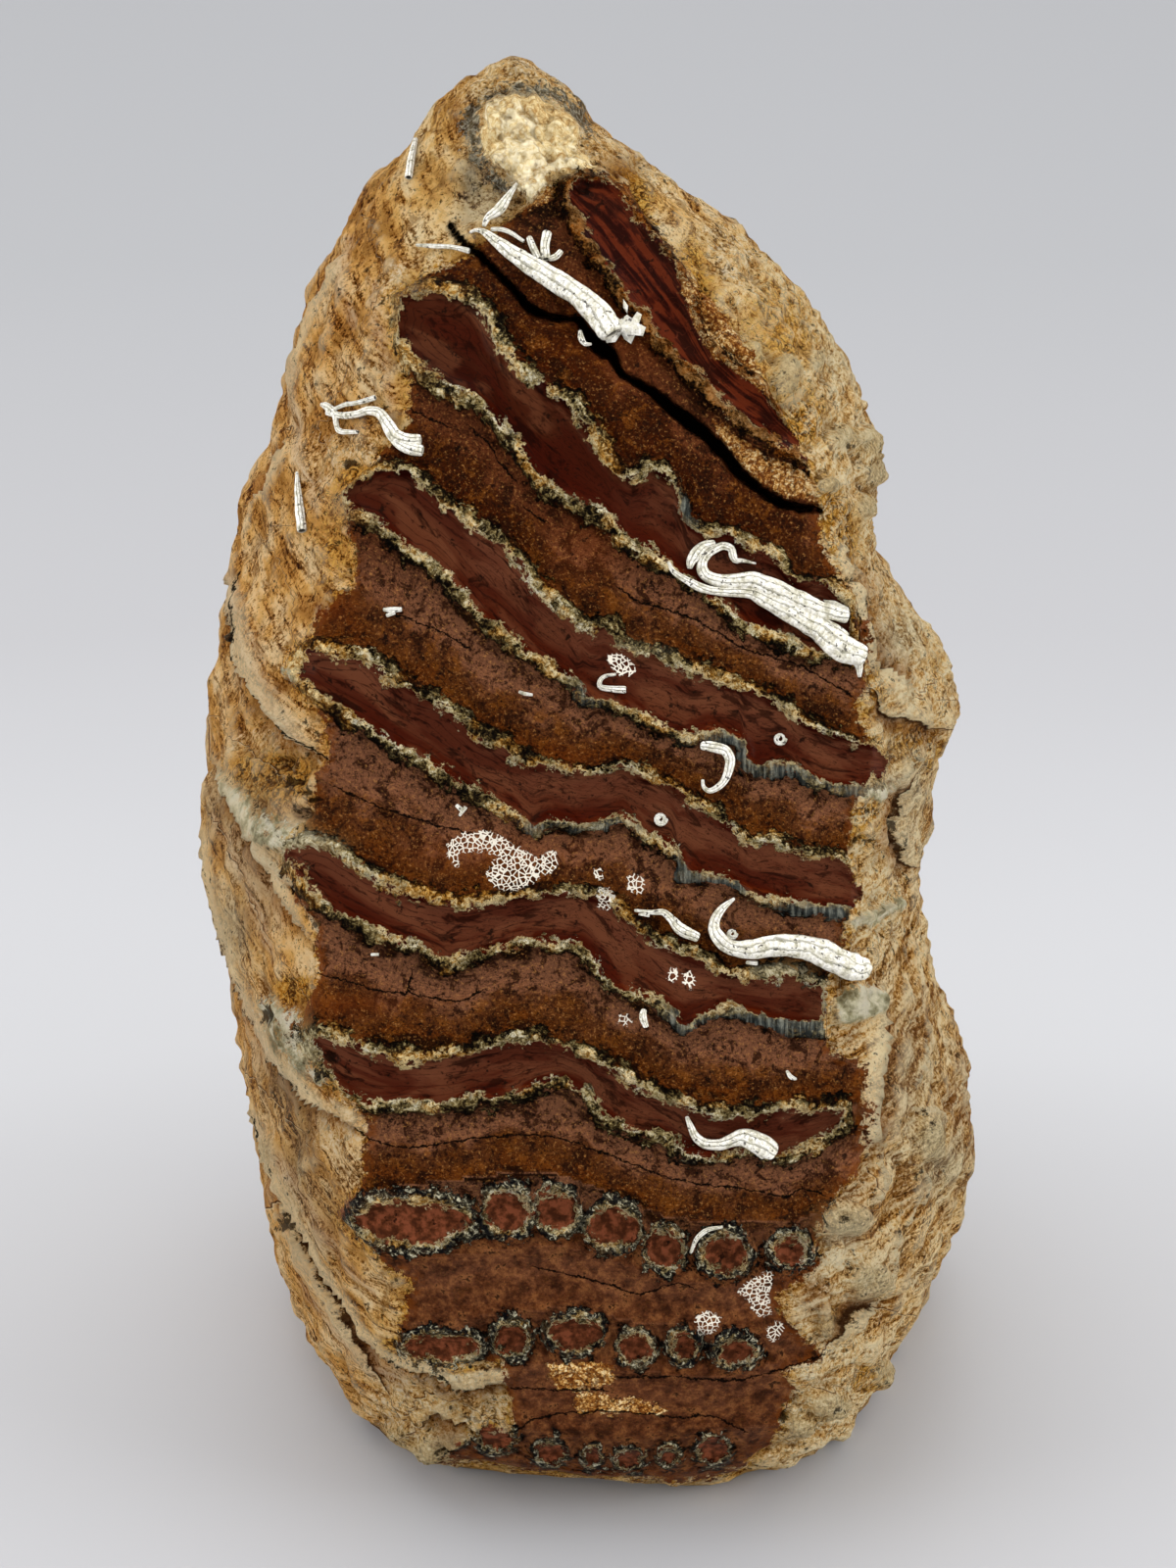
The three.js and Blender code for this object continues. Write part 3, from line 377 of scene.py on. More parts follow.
# Soft patches of tint or texture: (x, y, half width, half height, strength).
CRUMBLY_PATCHES = [(780, 300, 90, 90, 1.3), (840, 410, 60, 80, 1.3), (870, 560, 50, 60, 1.2),
    (930, 670, 60, 80, 1.3), (530, 110, 60, 60, 1.1), (620, 165, 80, 30, 1.2),
    (275, 780, 50, 40, 1.2), (330, 1030, 30, 25, 0.9), (345, 1150, 34, 34, 0.9),
    (890, 880, 40, 120, 0.9), (850, 1330, 50, 70, 1.0), (450, 1440, 80, 50, 1.1),
    (440, 290, 70, 34, 0.8), (350, 470, 60, 40, 0.7), (820, 1450, 60, 50, 1.0)]
GOLD_PATCHES = [(268, 792, 46, 26, 1.2), (300, 1012, 26, 15, 1.2), (340, 560, 30, 60, 0.5),
    (800, 330, 55, 70, 0.6), (868, 560, 20, 50, 0.7), (886, 1406, 18, 14, 1.6),
    (850, 1345, 26, 30, 0.5), (408, 1378, 24, 14, 1.2), (440, 296, 36, 8, 0.7),
    (455, 912, 70, 10, 1.2), (460, 1084, 90, 9, 1.0), (700, 800, 60, 10, 0.7),
    (390, 1228, 50, 10, 0.8), (330, 690, 18, 40, 0.5), (885, 700, 22, 40, 0.8),
    (620, 480, 16, 30, 0.6), (660, 300, 10, 60, 0.4), (560, 250, 60, 40, 0.2),
    (640, 196, 30, 34, 1.0), (705, 290, 26, 50, 1.0), (590, 180, 24, 12, 0.8),
    (940, 760, 30, 34, 0.8), (884, 830, 16, 50, 0.8), (820, 430, 34, 30, 0.8),
    (884, 630, 16, 30, 0.9), (960, 660, 20, 40, 0.5), (850, 520, 14, 40, 0.9),
    (425, 320, 20, 50, 1.0), (366, 494, 26, 24, 1.2), (322, 674, 26, 24, 1.1),
    (318, 884, 22, 26, 0.8)]
PALE_PATCHES = [(578, 172, 28, 9, 0.5), (545, 120, 30, 20, 0.6), (312, 862, 26, 10, 1.2),
    (296, 846, 16, 24, 0.9), (350, 512, 16, 14, 0.5), (310, 1075, 10, 30, 0.7),
    (690, 262, 10, 30, 0.3), (800, 992, 26, 10, 0.8), (640, 668, 30, 10, 0.4),
    (860, 1250, 20, 18, 0.7), (905, 800, 30, 14, 0.4), (880, 1310, 12, 20, 0.4)]
SLATE_PATCHES = [(745, 765, 30, 26, 1.2), (800, 788, 50, 14, 0.9), (880, 806, 30, 10, 0.8),
    (620, 844, 60, 10, 0.7), (696, 888, 14, 18, 1.2), (740, 904, 50, 12, 1.1),
    (840, 932, 60, 12, 1.2), (690, 1046, 16, 20, 1.0), (790, 1044, 70, 14, 1.2),
    (700, 520, 10, 30, 1.1), (545, 842, 12, 14, 0.8), (600, 700, 14, 18, 0.8),
    (520, 95, 50, 8, 0.7), (478, 130, 10, 40, 0.7), (595, 105, 12, 30, 0.7),
    (420, 300, 20, 40, 0.4), (875, 1030, 34, 22, 1.1), (845, 490, 10, 14, 1.0)]
GREY_PATCHES = [(525, 92, 38, 7, 0.9), (478, 180, 12, 30, 0.6), (240, 950, 22, 40, 0.7),
    (215, 830, 16, 36, 0.6), (280, 1100, 20, 34, 0.9), (260, 840, 24, 60, 0.7),
    (920, 650, 20, 22, 0.8), (960, 1190, 26, 30, 0.8), (930, 800, 18, 50, 0.5),
    (930, 1100, 30, 60, 0.5), (500, 190, 40, 30, 0.7), (860, 360, 20, 30, 0.4),
    (330, 1240, 22, 60, 0.4), (300, 1180, 16, 60, 0.7)]
RUST_PATCHES = [(632, 172, 26, 22, 0.9), (462, 120, 6, 26, 0.6), (930, 1060, 22, 60, 0.5),
    (985, 1110, 16, 60, 0.8), (880, 1210, 20, 60, 0.5), (830, 1320, 22, 30, 0.9),
    (630, 330, 60, 60, 0.5), (600, 560, 40, 30, 0.5),
    (500, 870, 90, 20, 0.5), (350, 1025, 60, 12, 0.6), (620, 1420, 90, 10, 0.6),
    (560, 780, 50, 20, 0.5), (330, 620, 30, 14, 0.9), (275, 1040, 14, 14, 0.6)]


# ------------------------------------------------------------------ small maths
def smooth(t):
    """0 below 0, 1 above 1, and an even curve between."""
    t = np.clip(t, 0, 1)
    return t * t * (3 - 2 * t)


def mix(a, b, t):
    return a + (b - a) * t


def across_at(outline, y):
    """x of an outline at each level y."""
    points = np.array(outline, float)
    return np.interp(y, points[:, 1], points[:, 0])


def table_at(table, y):
    points = np.array(table, float)
    return np.interp(y, points[:, 0], points[:, 1])


def spaced(line, count):
    """Evenly spaced points on a smooth line through a few points of any width."""
    points = np.array(line, float)
    ends = np.vstack([2 * points[0] - points[1], points, 2 * points[-1] - points[-2]])
    dense = []
    for i in range(1, len(ends) - 2):
        before, start, end, after = ends[i - 1:i + 3]
        for t in np.linspace(0, 1, 16, endpoint=False):
            dense.append(0.5 * (2 * start + (end - before) * t
                                + (2 * before - 5 * start + 4 * end - after) * t * t
                                + (3 * start - before - 3 * end + after) * t ** 3))
    dense = np.array(dense + [points[-1]])
    run = np.concatenate([[0], np.cumsum(np.hypot(*np.diff(dense[:, :2], axis=0).T))])
    marks = np.linspace(0, run[-1], count)
    return np.stack([np.interp(marks, run, column) for column in dense.T], axis=1)


def place(x, y, depth):
    """Sheet points pushed back by a depth, as world points in mm, one to a row."""
    spread = 1 + depth / SIGHT
    across = (x - MIDDLE[0]) * STEP * spread
    up = (MIDDLE[1] - y) * STEP * spread
    return np.stack([
        across - CENTRE[0],
        up * math.sin(LEAN) + depth * math.cos(LEAN) - CENTRE[1],
        up * math.cos(LEAN) - depth * math.sin(LEAN) + LIFT,
    ], axis=-1)


# ------------------------------------------------------------------ body
def rib_height(outline, outward, y, soften=0):
    """How far an outline stands out of its own smoothed run, in mm."""
    shifts = np.linspace(-RIB_WINDOW, RIB_WINDOW, 13)
    weights = 1 - np.abs(shifts) / (RIB_WINDOW * 1.1)
    level = sum(across_at(outline, y + s) * w for s, w in zip(shifts, weights)) / weights.sum()
    near = sum(across_at(outline, y + s * soften) for s in (-1, 0, 1)) / 3
    fade = smooth((y - 150) / 100) * (1 - smooth((y - 1370) / 70))
    return (near - level) * outward * STEP * fade


def stub_height(x, y):
    height = np.zeros(np.broadcast(x, y).shape)
    for stub_x, stub_y, rise, radius in STUBS:
        away = np.hypot(x - stub_x, y - stub_y) * STEP / radius
        height += rise * (1 - smooth(away * 0.8))
    return height


def columns_round():
    """Every column of the body as (stretch, place along it, side): round from the face's left."""
    face = [("face", i / FACE_COLUMNS, 0) for i in range(FACE_COLUMNS)]
    wall = [("wall", i / WALL_COLUMNS, 1) for i in range(WALL_COLUMNS)]
    rear = [("rear", i / REAR_COLUMNS, 1) for i in range(REAR_COLUMNS)]
    back = [("rear", i / REAR_COLUMNS, -1) for i in range(REAR_COLUMNS, 0, -1)]
    home = [("wall", i / WALL_COLUMNS, -1) for i in range(WALL_COLUMNS, 0, -1)]
    return face + wall + rear + back + home


def body_sheet(levels, columns):
    """x, depth and the rib coordinate of every point of the smooth body, rows by columns."""
    y = levels[:, None]
    left, right = across_at(LEFT_OUTLINE, y), across_at(RIGHT_OUTLINE, y)
    plain = {-1: left + rib_height(LEFT_OUTLINE, -1, y) / STEP,
             1: right - rib_height(RIGHT_OUTLINE, 1, y) / STEP}
    face = {-1: across_at(FACE_LEFT, y), 1: across_at(FACE_RIGHT, y)}
    front, girth, back = (table_at(t, y) for t in (FRONT_DEPTH, GIRTH_DEPTH, BACK_DEPTH))
    drop = np.minimum(EDGE_DROP, (girth - front) * 0.35)
    middle = (plain[-1] + plain[1]) / 2
    x, depth, share, turned = [], [], [], []
    for stretch, t, side in columns:
        turn = t * math.pi / 2
        if stretch == "face":
            x.append(mix(face[-1], face[1], t))
            depth.append(front + drop * abs(2 * t - 1) ** 2.5)
            share.append(0)
            turned.append(2 * t - 1)
        elif stretch == "wall":
            x.append(mix(face[side], plain[side], 0.6 * math.sin(turn) + 0.4 * t))
            depth.append(mix(front + drop, girth, 0.6 * (1 - math.cos(turn)) + 0.4 * t))
            share.append(smooth(t * 3))
            turned.append(side)
        else:
            x.append(middle + (plain[side] - middle) * max(math.cos(turn), 0) ** 0.75)
            depth.append(girth + (back - girth) * math.sin(turn) ** 0.75)
            share.append(1 - smooth(t))
            turned.append(side * (1 - t))
    x, depth = np.hstack(x), np.hstack(depth)
    side = np.array(turned)[None, :]
    run_x = (np.roll(x, -1, 1) - np.roll(x, 1, 1)) * STEP
    run_depth = np.roll(depth, -1, 1) - np.roll(depth, 1, 1)
    length = np.maximum(np.hypot(run_x, run_depth), 1e-6)
    rise = smooth((y - 800) / 500)
    slope = mix(mix(*RIB_SLOPE_LEFT, rise), mix(*RIB_SLOPE_RIGHT, rise), (side + 1) / 2)
    rib_level = y + slope * (depth - girth) / STEP
    soften = 30 * smooth(np.abs(depth - girth) / 10)
    ribs = np.where(side < 0, rib_height(LEFT_OUTLINE, -1, rib_level, soften),
                    rib_height(RIGHT_OUTLINE, 1, rib_level, soften))
    out = ribs * np.array(share, float)[None, :] + np.where(depth > girth + 5, stub_height(x, y), 0)
    x = x + run_depth / length * out / STEP
    depth = depth - run_x / length * out
    return x, depth, rib_level * STEP, side + np.zeros_like(x)


LEVELS = np.concatenate([57 + 20 * np.linspace(0, 1, 14, endpoint=False) ** 1.6,
                         np.linspace(77, 1518, ROW_COUNT - 14)])
COLUMNS = columns_round()
BODY_X, BODY_DEPTH, RIB_LEVEL, BODY_SIDE = body_sheet(LEVELS, COLUMNS)
FRONT_ORDER = (list(range(len(COLUMNS) - WALL_COLUMNS, len(COLUMNS)))
               + list(range(FACE_COLUMNS + WALL_COLUMNS + 1)))


def depth_at(x, y):
    """Depth of the smooth front surface at one sheet point."""
    row = int(np.clip(np.searchsorted(LEVELS, y), 1, len(LEVELS) - 1))
    near = []
    for index in (row - 1, row):
        run, deep = BODY_X[index, FRONT_ORDER], BODY_DEPTH[index, FRONT_ORDER]
        order = np.argsort(run)
        near.append(np.interp(x, run[order], deep[order]))
    share = np.clip((y - LEVELS[row - 1]) / (LEVELS[row] - LEVELS[row - 1]), 0, 1)
    return mix(near[0], near[1], share)


# ------------------------------------------------------------------ fields on the sheet (mm)
FAR = 9.0                     # distances are not followed further than this
ENAMEL_HALF = 1.2             # half the usual width of an enamel band


def near_box(x, y, points, margin=FAR):
    low, high = points[:, :2].min(0) - margin / STEP, points[:, :2].max(0) + margin / STEP
    return (x > low[0]) & (x < high[0]) & (y > low[1]) & (y < high[1])


def line_distance(x, y, points):
    """(distance in mm, width there, side) from each point to an open line."""
    best = np.full(x.shape, 1e9)
    width = np.zeros(x.shape)
    side = np.ones(x.shape)
    for start, end in zip(points[:-1], points[1:]):
        run = end[:2] - start[:2]
        square = max(float(run @ run), 1e-9)
        t = np.clip(((x - start[0]) * run[0] + (y - start[1]) * run[1]) / square, 0, 1)
        off_x, off_y = x - start[0] - t * run[0], y - start[1] - t * run[1]
        gap = np.hypot(off_x, off_y) * STEP
        closer = gap < best
        best = np.where(closer, gap, best)
        side = np.where(closer, np.sign(run[0] * off_y - run[1] * off_x), side)
        if len(start) > 2:
            width = np.where(closer, mix(start[2], end[2], t), width)
    return best, width, side


def inside(x, y, points):
    """Whether each point lies inside a closed line."""
    odd = np.zeros(x.shape, bool)
    for (x0, y0), (x1, y1) in zip(points[:, :2], np.roll(points[:, :2], -1, 0)):
        if y0 != y1:
            crossing = (y0 > y) != (y1 > y)
            odd ^= crossing & (x < (x1 - x0) * (y - y0) / (y1 - y0) + x0)
    return odd


def oval(x, y, outer_x, outer_y, inner_x, inner_y):
    """Middle line of a finger ring's enamel, with its width."""
    turns = np.linspace(0, 2 * math.pi, 25)[:-1]
    sweep_x, sweep_y = (outer_x + inner_x) / 2, (outer_y + inner_y) / 2
    width = np.hypot((outer_x - inner_x) * np.cos(turns), (outer_y - inner_y) * np.sin(turns))
    return np.stack([x + sweep_x * np.cos(turns), y + sweep_y * np.sin(turns), width], axis=1)


def enamel_loops():
    loops = []
    for upper, lower in PLATES:
        loops.append(np.vstack([spaced(upper, 70), spaced(lower, 70)[::-1]]))
    return loops + [oval(*ring) for ring in RINGS]


ENAMEL_LOOPS = enamel_loops()


def enamel_field(x, y):
    """Signed distance to the enamel's middle line, negative in a pool, and half its width."""
    signed = np.full(x.shape, FAR)
    half = np.full(x.shape, ENAMEL_HALF)
    rank = np.full(x.shape, 1e9)
    for loop in ENAMEL_LOOPS:
        near = near_box(x, y, loop)
        gap, width, _ = line_distance(x[near], y[near], np.vstack([loop, loop[:1]]))
        within = inside(x[near], y[near], loop)
        order = np.where(within, gap - 100, gap - width * STEP / 2)
        take = order < rank[near]
        index = np.flatnonzero(near)[take]
        signed[index] = np.minimum(np.where(within, -gap, gap)[take], FAR)
        half[index] = width[take] * STEP / 2
        rank[index] = order[take]
    return signed, half


def band_place(x, y):
    """0 just under one enamel line, 1 just over the next, in pools and cement alike."""
    lines = [np.full(x.shape, 50.0)]
    for upper, lower in PLATES + RING_ROWS:
        for line in (upper, lower):
            points = np.array(line, float)
            order = np.argsort(points[:, 0])
            lines.append(np.interp(x, points[order, 0], points[order, 1]))
    lines.append(np.full(x.shape, 1560.0))
    stack = np.sort(np.stack(lines), axis=0)
    index = np.clip((stack < y).sum(0), 1, len(lines) - 1)
    above = np.take_along_axis(stack, index[None] - 1, 0)[0]
    below = np.take_along_axis(stack, index[None], 0)[0]
    return (y - above) / np.maximum(below - above, 1)


def nearest_line(x, y, lines, margin=3):
    """Unsigned and signed distance to the nearest of several open lines, and its width."""
    plain = np.full(x.shape, FAR)
    signed = np.full(x.shape, FAR)
    width = np.zeros(x.shape)
    for line in lines:
        points = spaced(line, max(8, 4 * len(line)))
        near = np.flatnonzero(near_box(x, y, points, margin))
        gap, wide, side = line_distance(x[near], y[near], points)
        take = gap < plain[near]
        plain[near[take]] = gap[take]
        signed[near[take]] = (gap * side)[take]
        width[near[take]] = wide[take] * STEP
    return plain, signed, width


def region(x, y, outlines):
    """Signed distance to the nearest of several closed outlines, negative inside."""
    signed = np.full(x.shape, FAR)
    for outline in outlines:
        points = np.array(outline, float)
        near = np.flatnonzero(near_box(x, y, points))
        gap, _, _ = line_distance(x[near], y[near], np.vstack([points, points[:1]]))
        gap = np.where(inside(x[near], y[near], points), -gap, gap)
        signed[near] = np.minimum(signed[near], gap)
    return signed


def blobs(x, y, patches):
    """Sum of soft patches, each (x, y, half width, half height, strength)."""
    total = np.zeros(x.shape)
    for patch_x, patch_y, wide, high, strength in patches:
        total += strength * np.exp(-((x - patch_x) / wide) ** 2 - ((y - patch_y) / high) ** 2)
    return np.clip(total, 0, 1)


# ------------------------------------------------------------------ the tooth's mesh
def lumps(points, scale, octaves=4):
    """Fractal noise of world points in mm, about -1 to 1."""
    return np.array([noise.fractal(Vector(p) * scale, 1.0, 2.0, octaves) for p in points])


def domes(points, scale):
    """Height of rounded knobs packed side by side, 0 between them to 1 on top."""
    near = np.array([noise.voronoi(Vector(p) * scale)[0][0] for p in points])
    return np.sqrt(np.clip(1 - near ** 2 * 1.6, 0, 1))


def blurred(height):
    """The height averaged over the rows and columns near by."""
    total = np.zeros_like(height)
    padded = np.pad(height, ((BLUR_REACH, BLUR_REACH), (0, 0)), mode="edge")
    for shift in range(2 * BLUR_REACH + 1):
        total += padded[shift:shift + len(height)]
    rows = total / (2 * BLUR_REACH + 1)
    return sum(np.roll(rows, shift, 1) for shift in range(-BLUR_REACH, BLUR_REACH + 1)) / (
        2 * BLUR_REACH + 1)


def held_in(points):
    """Draws in what nears the sides of the CAD box, so that nothing stands out of it."""
    for axis in (0, 1):
        low, high = CAD_BOX[0][axis] / MM + BOX_MARGIN, CAD_BOX[1][axis] / MM - BOX_MARGIN
        place_now = points[..., axis]
        place_now += 0.6 * (np.maximum(low - place_now, 0) - np.maximum(place_now - high, 0))
    return points


def world_normals(points):
    """Outward normals of a rows by columns grid that closes round its columns."""
    down = np.gradient(points, axis=0)
    round_ = np.roll(points, -1, 1) - np.roll(points, 1, 1)
    normal = np.cross(down, round_)
    normal /= np.maximum(np.linalg.norm(normal, axis=-1, keepdims=True), 1e-9)
    return normal


def growths(x, y):
    """Lift in mm of the growths and pits, and how far each point lies in a growth or a pit."""
    lift, pearl, pit = (np.zeros(x.shape) for _ in range(3))
    for pearl_x, pearl_y, wide, high, rise in PEARLS:
        away = np.hypot((x - pearl_x) / wide, (y - pearl_y) / high)
        lift += rise * np.sqrt(np.clip(1 - away ** 2, 0, 1))
        pearl = np.maximum(pearl, 1 - smooth(away * 2 - 1.2))
    for pit_x, pit_y, wide, high, deep in PITS:
        hole = 1 - smooth(np.hypot((x - pit_x) / wide, (y - pit_y) / high) * 1.6 - 0.6)
        lift -= deep * hole
        pit = np.maximum(pit, hole)
    return lift, pearl, pit


def ledges(x, y):
    """Lift in mm of the ledges, and the distance from one, negative on its proud side."""
    lift, crevice = np.zeros(x.shape), np.full(x.shape, FAR)
    for line, rise, reach in LEDGES:
        last = len(line) - 1
        tapered = [point + (min(1.0, 6 * min(i, last - i) / last),)
                   for i, point in enumerate(line)]
        gap, signed, share = nearest_line(x, y, [tapered], FAR)
        share = share / STEP * smooth((FAR - gap) / 3)
        under = signed * rise > 0
        upper = 0.6 * np.exp(-gap / (reach * 0.7))
        lower = -1.1 * np.exp(-gap / (reach * 0.45))
        lift += np.where(under, lower, upper) * abs(rise) * share
        gap = gap + 4 * (1 - np.clip(share, 0, 1)) + 0.45 * (DEEPEST_LEDGE - abs(rise))
        crevice = np.where(gap < np.abs(crevice), np.where(under, gap, -gap), crevice)
    return lift, crevice


def tooth_fields():
    """Sheet fields of every body point, as rows by columns arrays."""
    front = np.zeros(BODY_X.shape, bool)
    front[:, FRONT_ORDER] = True
    level = np.repeat(LEVELS[:, None], BODY_X.shape[1], axis=1)
    x, y = BODY_X[front], level[front]

    def spread(values, elsewhere=0.0):
        """The front points' values as a field of the whole body."""
        field = np.full(BODY_X.shape, elsewhere)
        field[front] = values
        return field

    signed, half = enamel_field(x, y)
    fields = {"front": front.astype(float), "band": band_place(BODY_X, level),
              "enamel": spread(signed, FAR), "half": spread(half, ENAMEL_HALF)}
    for name, outlines in (("edge", [WORN_EDGE]), ("crust", CRUSTS), ("tan", TAN_CEMENT),
                           ("plate", [TOP_PLATE]), ("shell", SHELLS)):
        fields[name] = spread(region(x, y, outlines), FAR)
    for name, line in (("crack", CRACK), ("top_rim", TOP_RIM)):
        gap, _, width = nearest_line(x, y, [line])
        fields[name] = spread(gap - width / 2, FAR)
    gap, signed, _ = nearest_line(x, y, HAIRLINES)
    fields["hair_near"], fields["hair"] = spread(gap, FAR), spread(signed, FAR)
    gap, _, width = nearest_line(x, y, RIMS)
    fields["rim"] = spread(np.clip(1.4 - gap / np.maximum(width / 2, 0.2), 0, 1))
    gap, _, width = nearest_line(x, y, STREAKS)
    fields["streak"] = spread(1 - smooth(gap / np.maximum(width, 1) * 1.6))
    for name, patches in (("crumbly", CRUMBLY_PATCHES), ("gold", GOLD_PATCHES),
                          ("pale", PALE_PATCHES), ("slate", SLATE_PATCHES),
                          ("grey", GREY_PATCHES), ("rust", RUST_PATCHES)):
        fields[name] = spread(blobs(x, y, patches))
    grown, pearl, pit = growths(x, y)
    stepped, crevice = ledges(x, y)
    fields["pearl"], fields["pit"] = spread(pearl), spread(pit)
    fields["lift"], fields["crevice"] = spread(grown + stepped), spread(crevice, FAR)
    return fields


def tooth_points(fields):
    """World points of the shaped tooth, in mm."""
    level = np.repeat(LEVELS[:, None], BODY_X.shape[1], axis=1)
    smooth_points = place(BODY_X, level, BODY_DEPTH)
    flat = smooth_points.reshape(-1, 3)
    coarse = lumps(flat, 0.12, 3).reshape(BODY_X.shape)
    fine = lumps(flat, 0.7, 1).reshape(BODY_X.shape)

    signed, half = fields["enamel"], fields["half"]
    worn = smooth(-fields["edge"] / 1.5 + 0.5)
    ragged = signed + 0.5 * fine
    band = 1 - smooth((np.abs(ragged) - half * 0.6 + 0.3) / 0.7)
    pool = smooth((-signed - half + 0.3) / 1.2)
    dish = 4 * fields["band"] * (1 - fields["band"])
    moat = np.exp(-((signed - half - 0.2) / 0.4) ** 2)
    open_crack = 1 - smooth((fields["crack"] + 0.3 * fine) / 0.5 + 0.6)
    cement = (1 - pool) * (1 - band)
    rise = (band * (ENAMEL_RISE + 0.7 * fine) - pool * (0.35 + 0.65 * dish) * POOL_DEPTH
            - moat * MOAT_DEPTH + cement * (0.3 * coarse - dish * CEMENT_DISH))
    rise = np.where(signed < FAR - 1, rise, 0) * worn
    plate, rim = (1 - smooth(fields[name] / 1.2 + 0.5) for name in ("plate", "top_rim"))
    rise += plate * (PLATE_RISE + 1.2 * fine) - rim * TOP_RIM_DEPTH
    rise += 0.4 * worn * fields["lift"]
    depth = BODY_DEPTH - rise * fields["front"] + open_crack * CRACK_DEPTH
    points = place(BODY_X, level, depth)
    swell = fields["lift"] + fields["rim"] * RIM_RISE
    swell += SHELL_RISE * (1 - smooth(fields["shell"] / 0.8 + 0.5))

    fibre_points = np.stack([RIB_LEVEL * 0.45, BODY_DEPTH * 0.09, BODY_SIDE * 7], axis=-1)
    fibres = lumps(fibre_points.reshape(-1, 3), 1.0, 1).reshape(BODY_X.shape)
    knobbly = lumps(flat, 0.3, 2).reshape(BODY_X.shape)
    knobs = domes(flat + 2.5 * coarse.reshape(-1, 1), 0.17).reshape(BODY_X.shape)
    knob_share = 0.15 + 0.85 * smooth(BODY_SIDE * 2) * smooth((level - 560) / 300)
    chunks = domes(flat + 1.2 * fine.reshape(-1, 1), 0.42).reshape(BODY_X.shape)
    rough = (0.3 * fibres + 0.9 * coarse + 0.6 * knobbly + 0.2 * fine - 0.9
             + 1.5 * knobs * knob_share + swell * fields["front"]
             + 1.1 * (chunks - 0.7) * fields["crumbly"])
    # How far each point lies under its neighbours' mean; the material paints shade in these hollows and
    # highlights on the ridges.
    fields["hollow"] = blurred(rough) - rough
    near_end = smooth((LEVELS - 57) / 12)[:, None]
    points += world_normals(smooth_points) * (rough * (1 - worn) * near_end)[..., None]
    return held_in(points)


def tooth_mesh():
    """The dressed tooth as one mesh whose points carry the fields that its material reads."""
    fields = tooth_fields()
    points = tooth_points(fields)
    rows, around = BODY_X.shape
    index = np.arange(rows * around).reshape(rows, around)
    a, b = index[:-1], np.roll(index, -1, 1)[:-1]
    c, d = np.roll(index, -1, 1)[1:], index[1:]
    quads = np.stack([a, d, c, b], axis=-1).reshape(-1, 4)
    mesh = bpy.data.meshes.new("tooth_shape")
    faces = quads.tolist() + [index[0].tolist(), index[-1][::-1].tolist()]
    mesh.from_pydata((points.reshape(-1, 3) * MM).tolist(), [], faces)
    for name in sorted(set(fields) - {"front", "lift"}):
        layer = mesh.attributes.new(name, "FLOAT", "POINT")
        layer.data.foreach_set("value", fields[name].astype(np.float32).ravel())
    level = np.repeat(LEVELS[:, None], around, axis=1)
    vectors = {
        "sheet": np.stack([(BODY_X - MIDDLE[0]) * STEP, (MIDDLE[1] - level) * STEP,
                           BODY_DEPTH], axis=-1),
        "fibre": np.stack([RIB_LEVEL, BODY_DEPTH, BODY_SIDE * 6], axis=-1),
    }
    for name, values in vectors.items():
        layer = mesh.attributes.new(name, "FLOAT_VECTOR", "POINT")
        layer.data.foreach_set("vector", values.astype(np.float32).ravel())
    stand_flat(mesh)
    mesh.shade_smooth()
    tooth = bpy.data.objects.new("tooth_dressed", mesh)
    bpy.context.collection.objects.link(tooth)
    return tooth


def stand_flat(mesh):
    """Cuts off what lies under the floor and closes the flat it stands on."""
    body = bmesh.new()
    body.from_mesh(mesh)
    everything = body.verts[:] + body.edges[:] + body.faces[:]
    bmesh.ops.bisect_plane(body, geom=everything, plane_co=(0, 0, 0), plane_no=(0, 0, 1),
                           clear_inner=True)
    rim = [edge for edge in body.edges if edge.is_boundary]
    bmesh.ops.edgeloop_fill(body, edges=rim)
    bmesh.ops.recalc_face_normals(body, faces=body.faces)
    body.to_mesh(mesh)
    body.free()


# ------------------------------------------------------------------ shader helpers
def linear(code, alpha=1.0):
    """An sRGB hex colour as Blender's linear colour."""
    parts = [int(code[i:i + 2], 16) / 255 for i in (1, 3, 5)]
    return tuple(c / 12.92 if c < 0.04045 else ((c + 0.055) / 1.055) ** 2.4
                 for c in parts) + (alpha,)


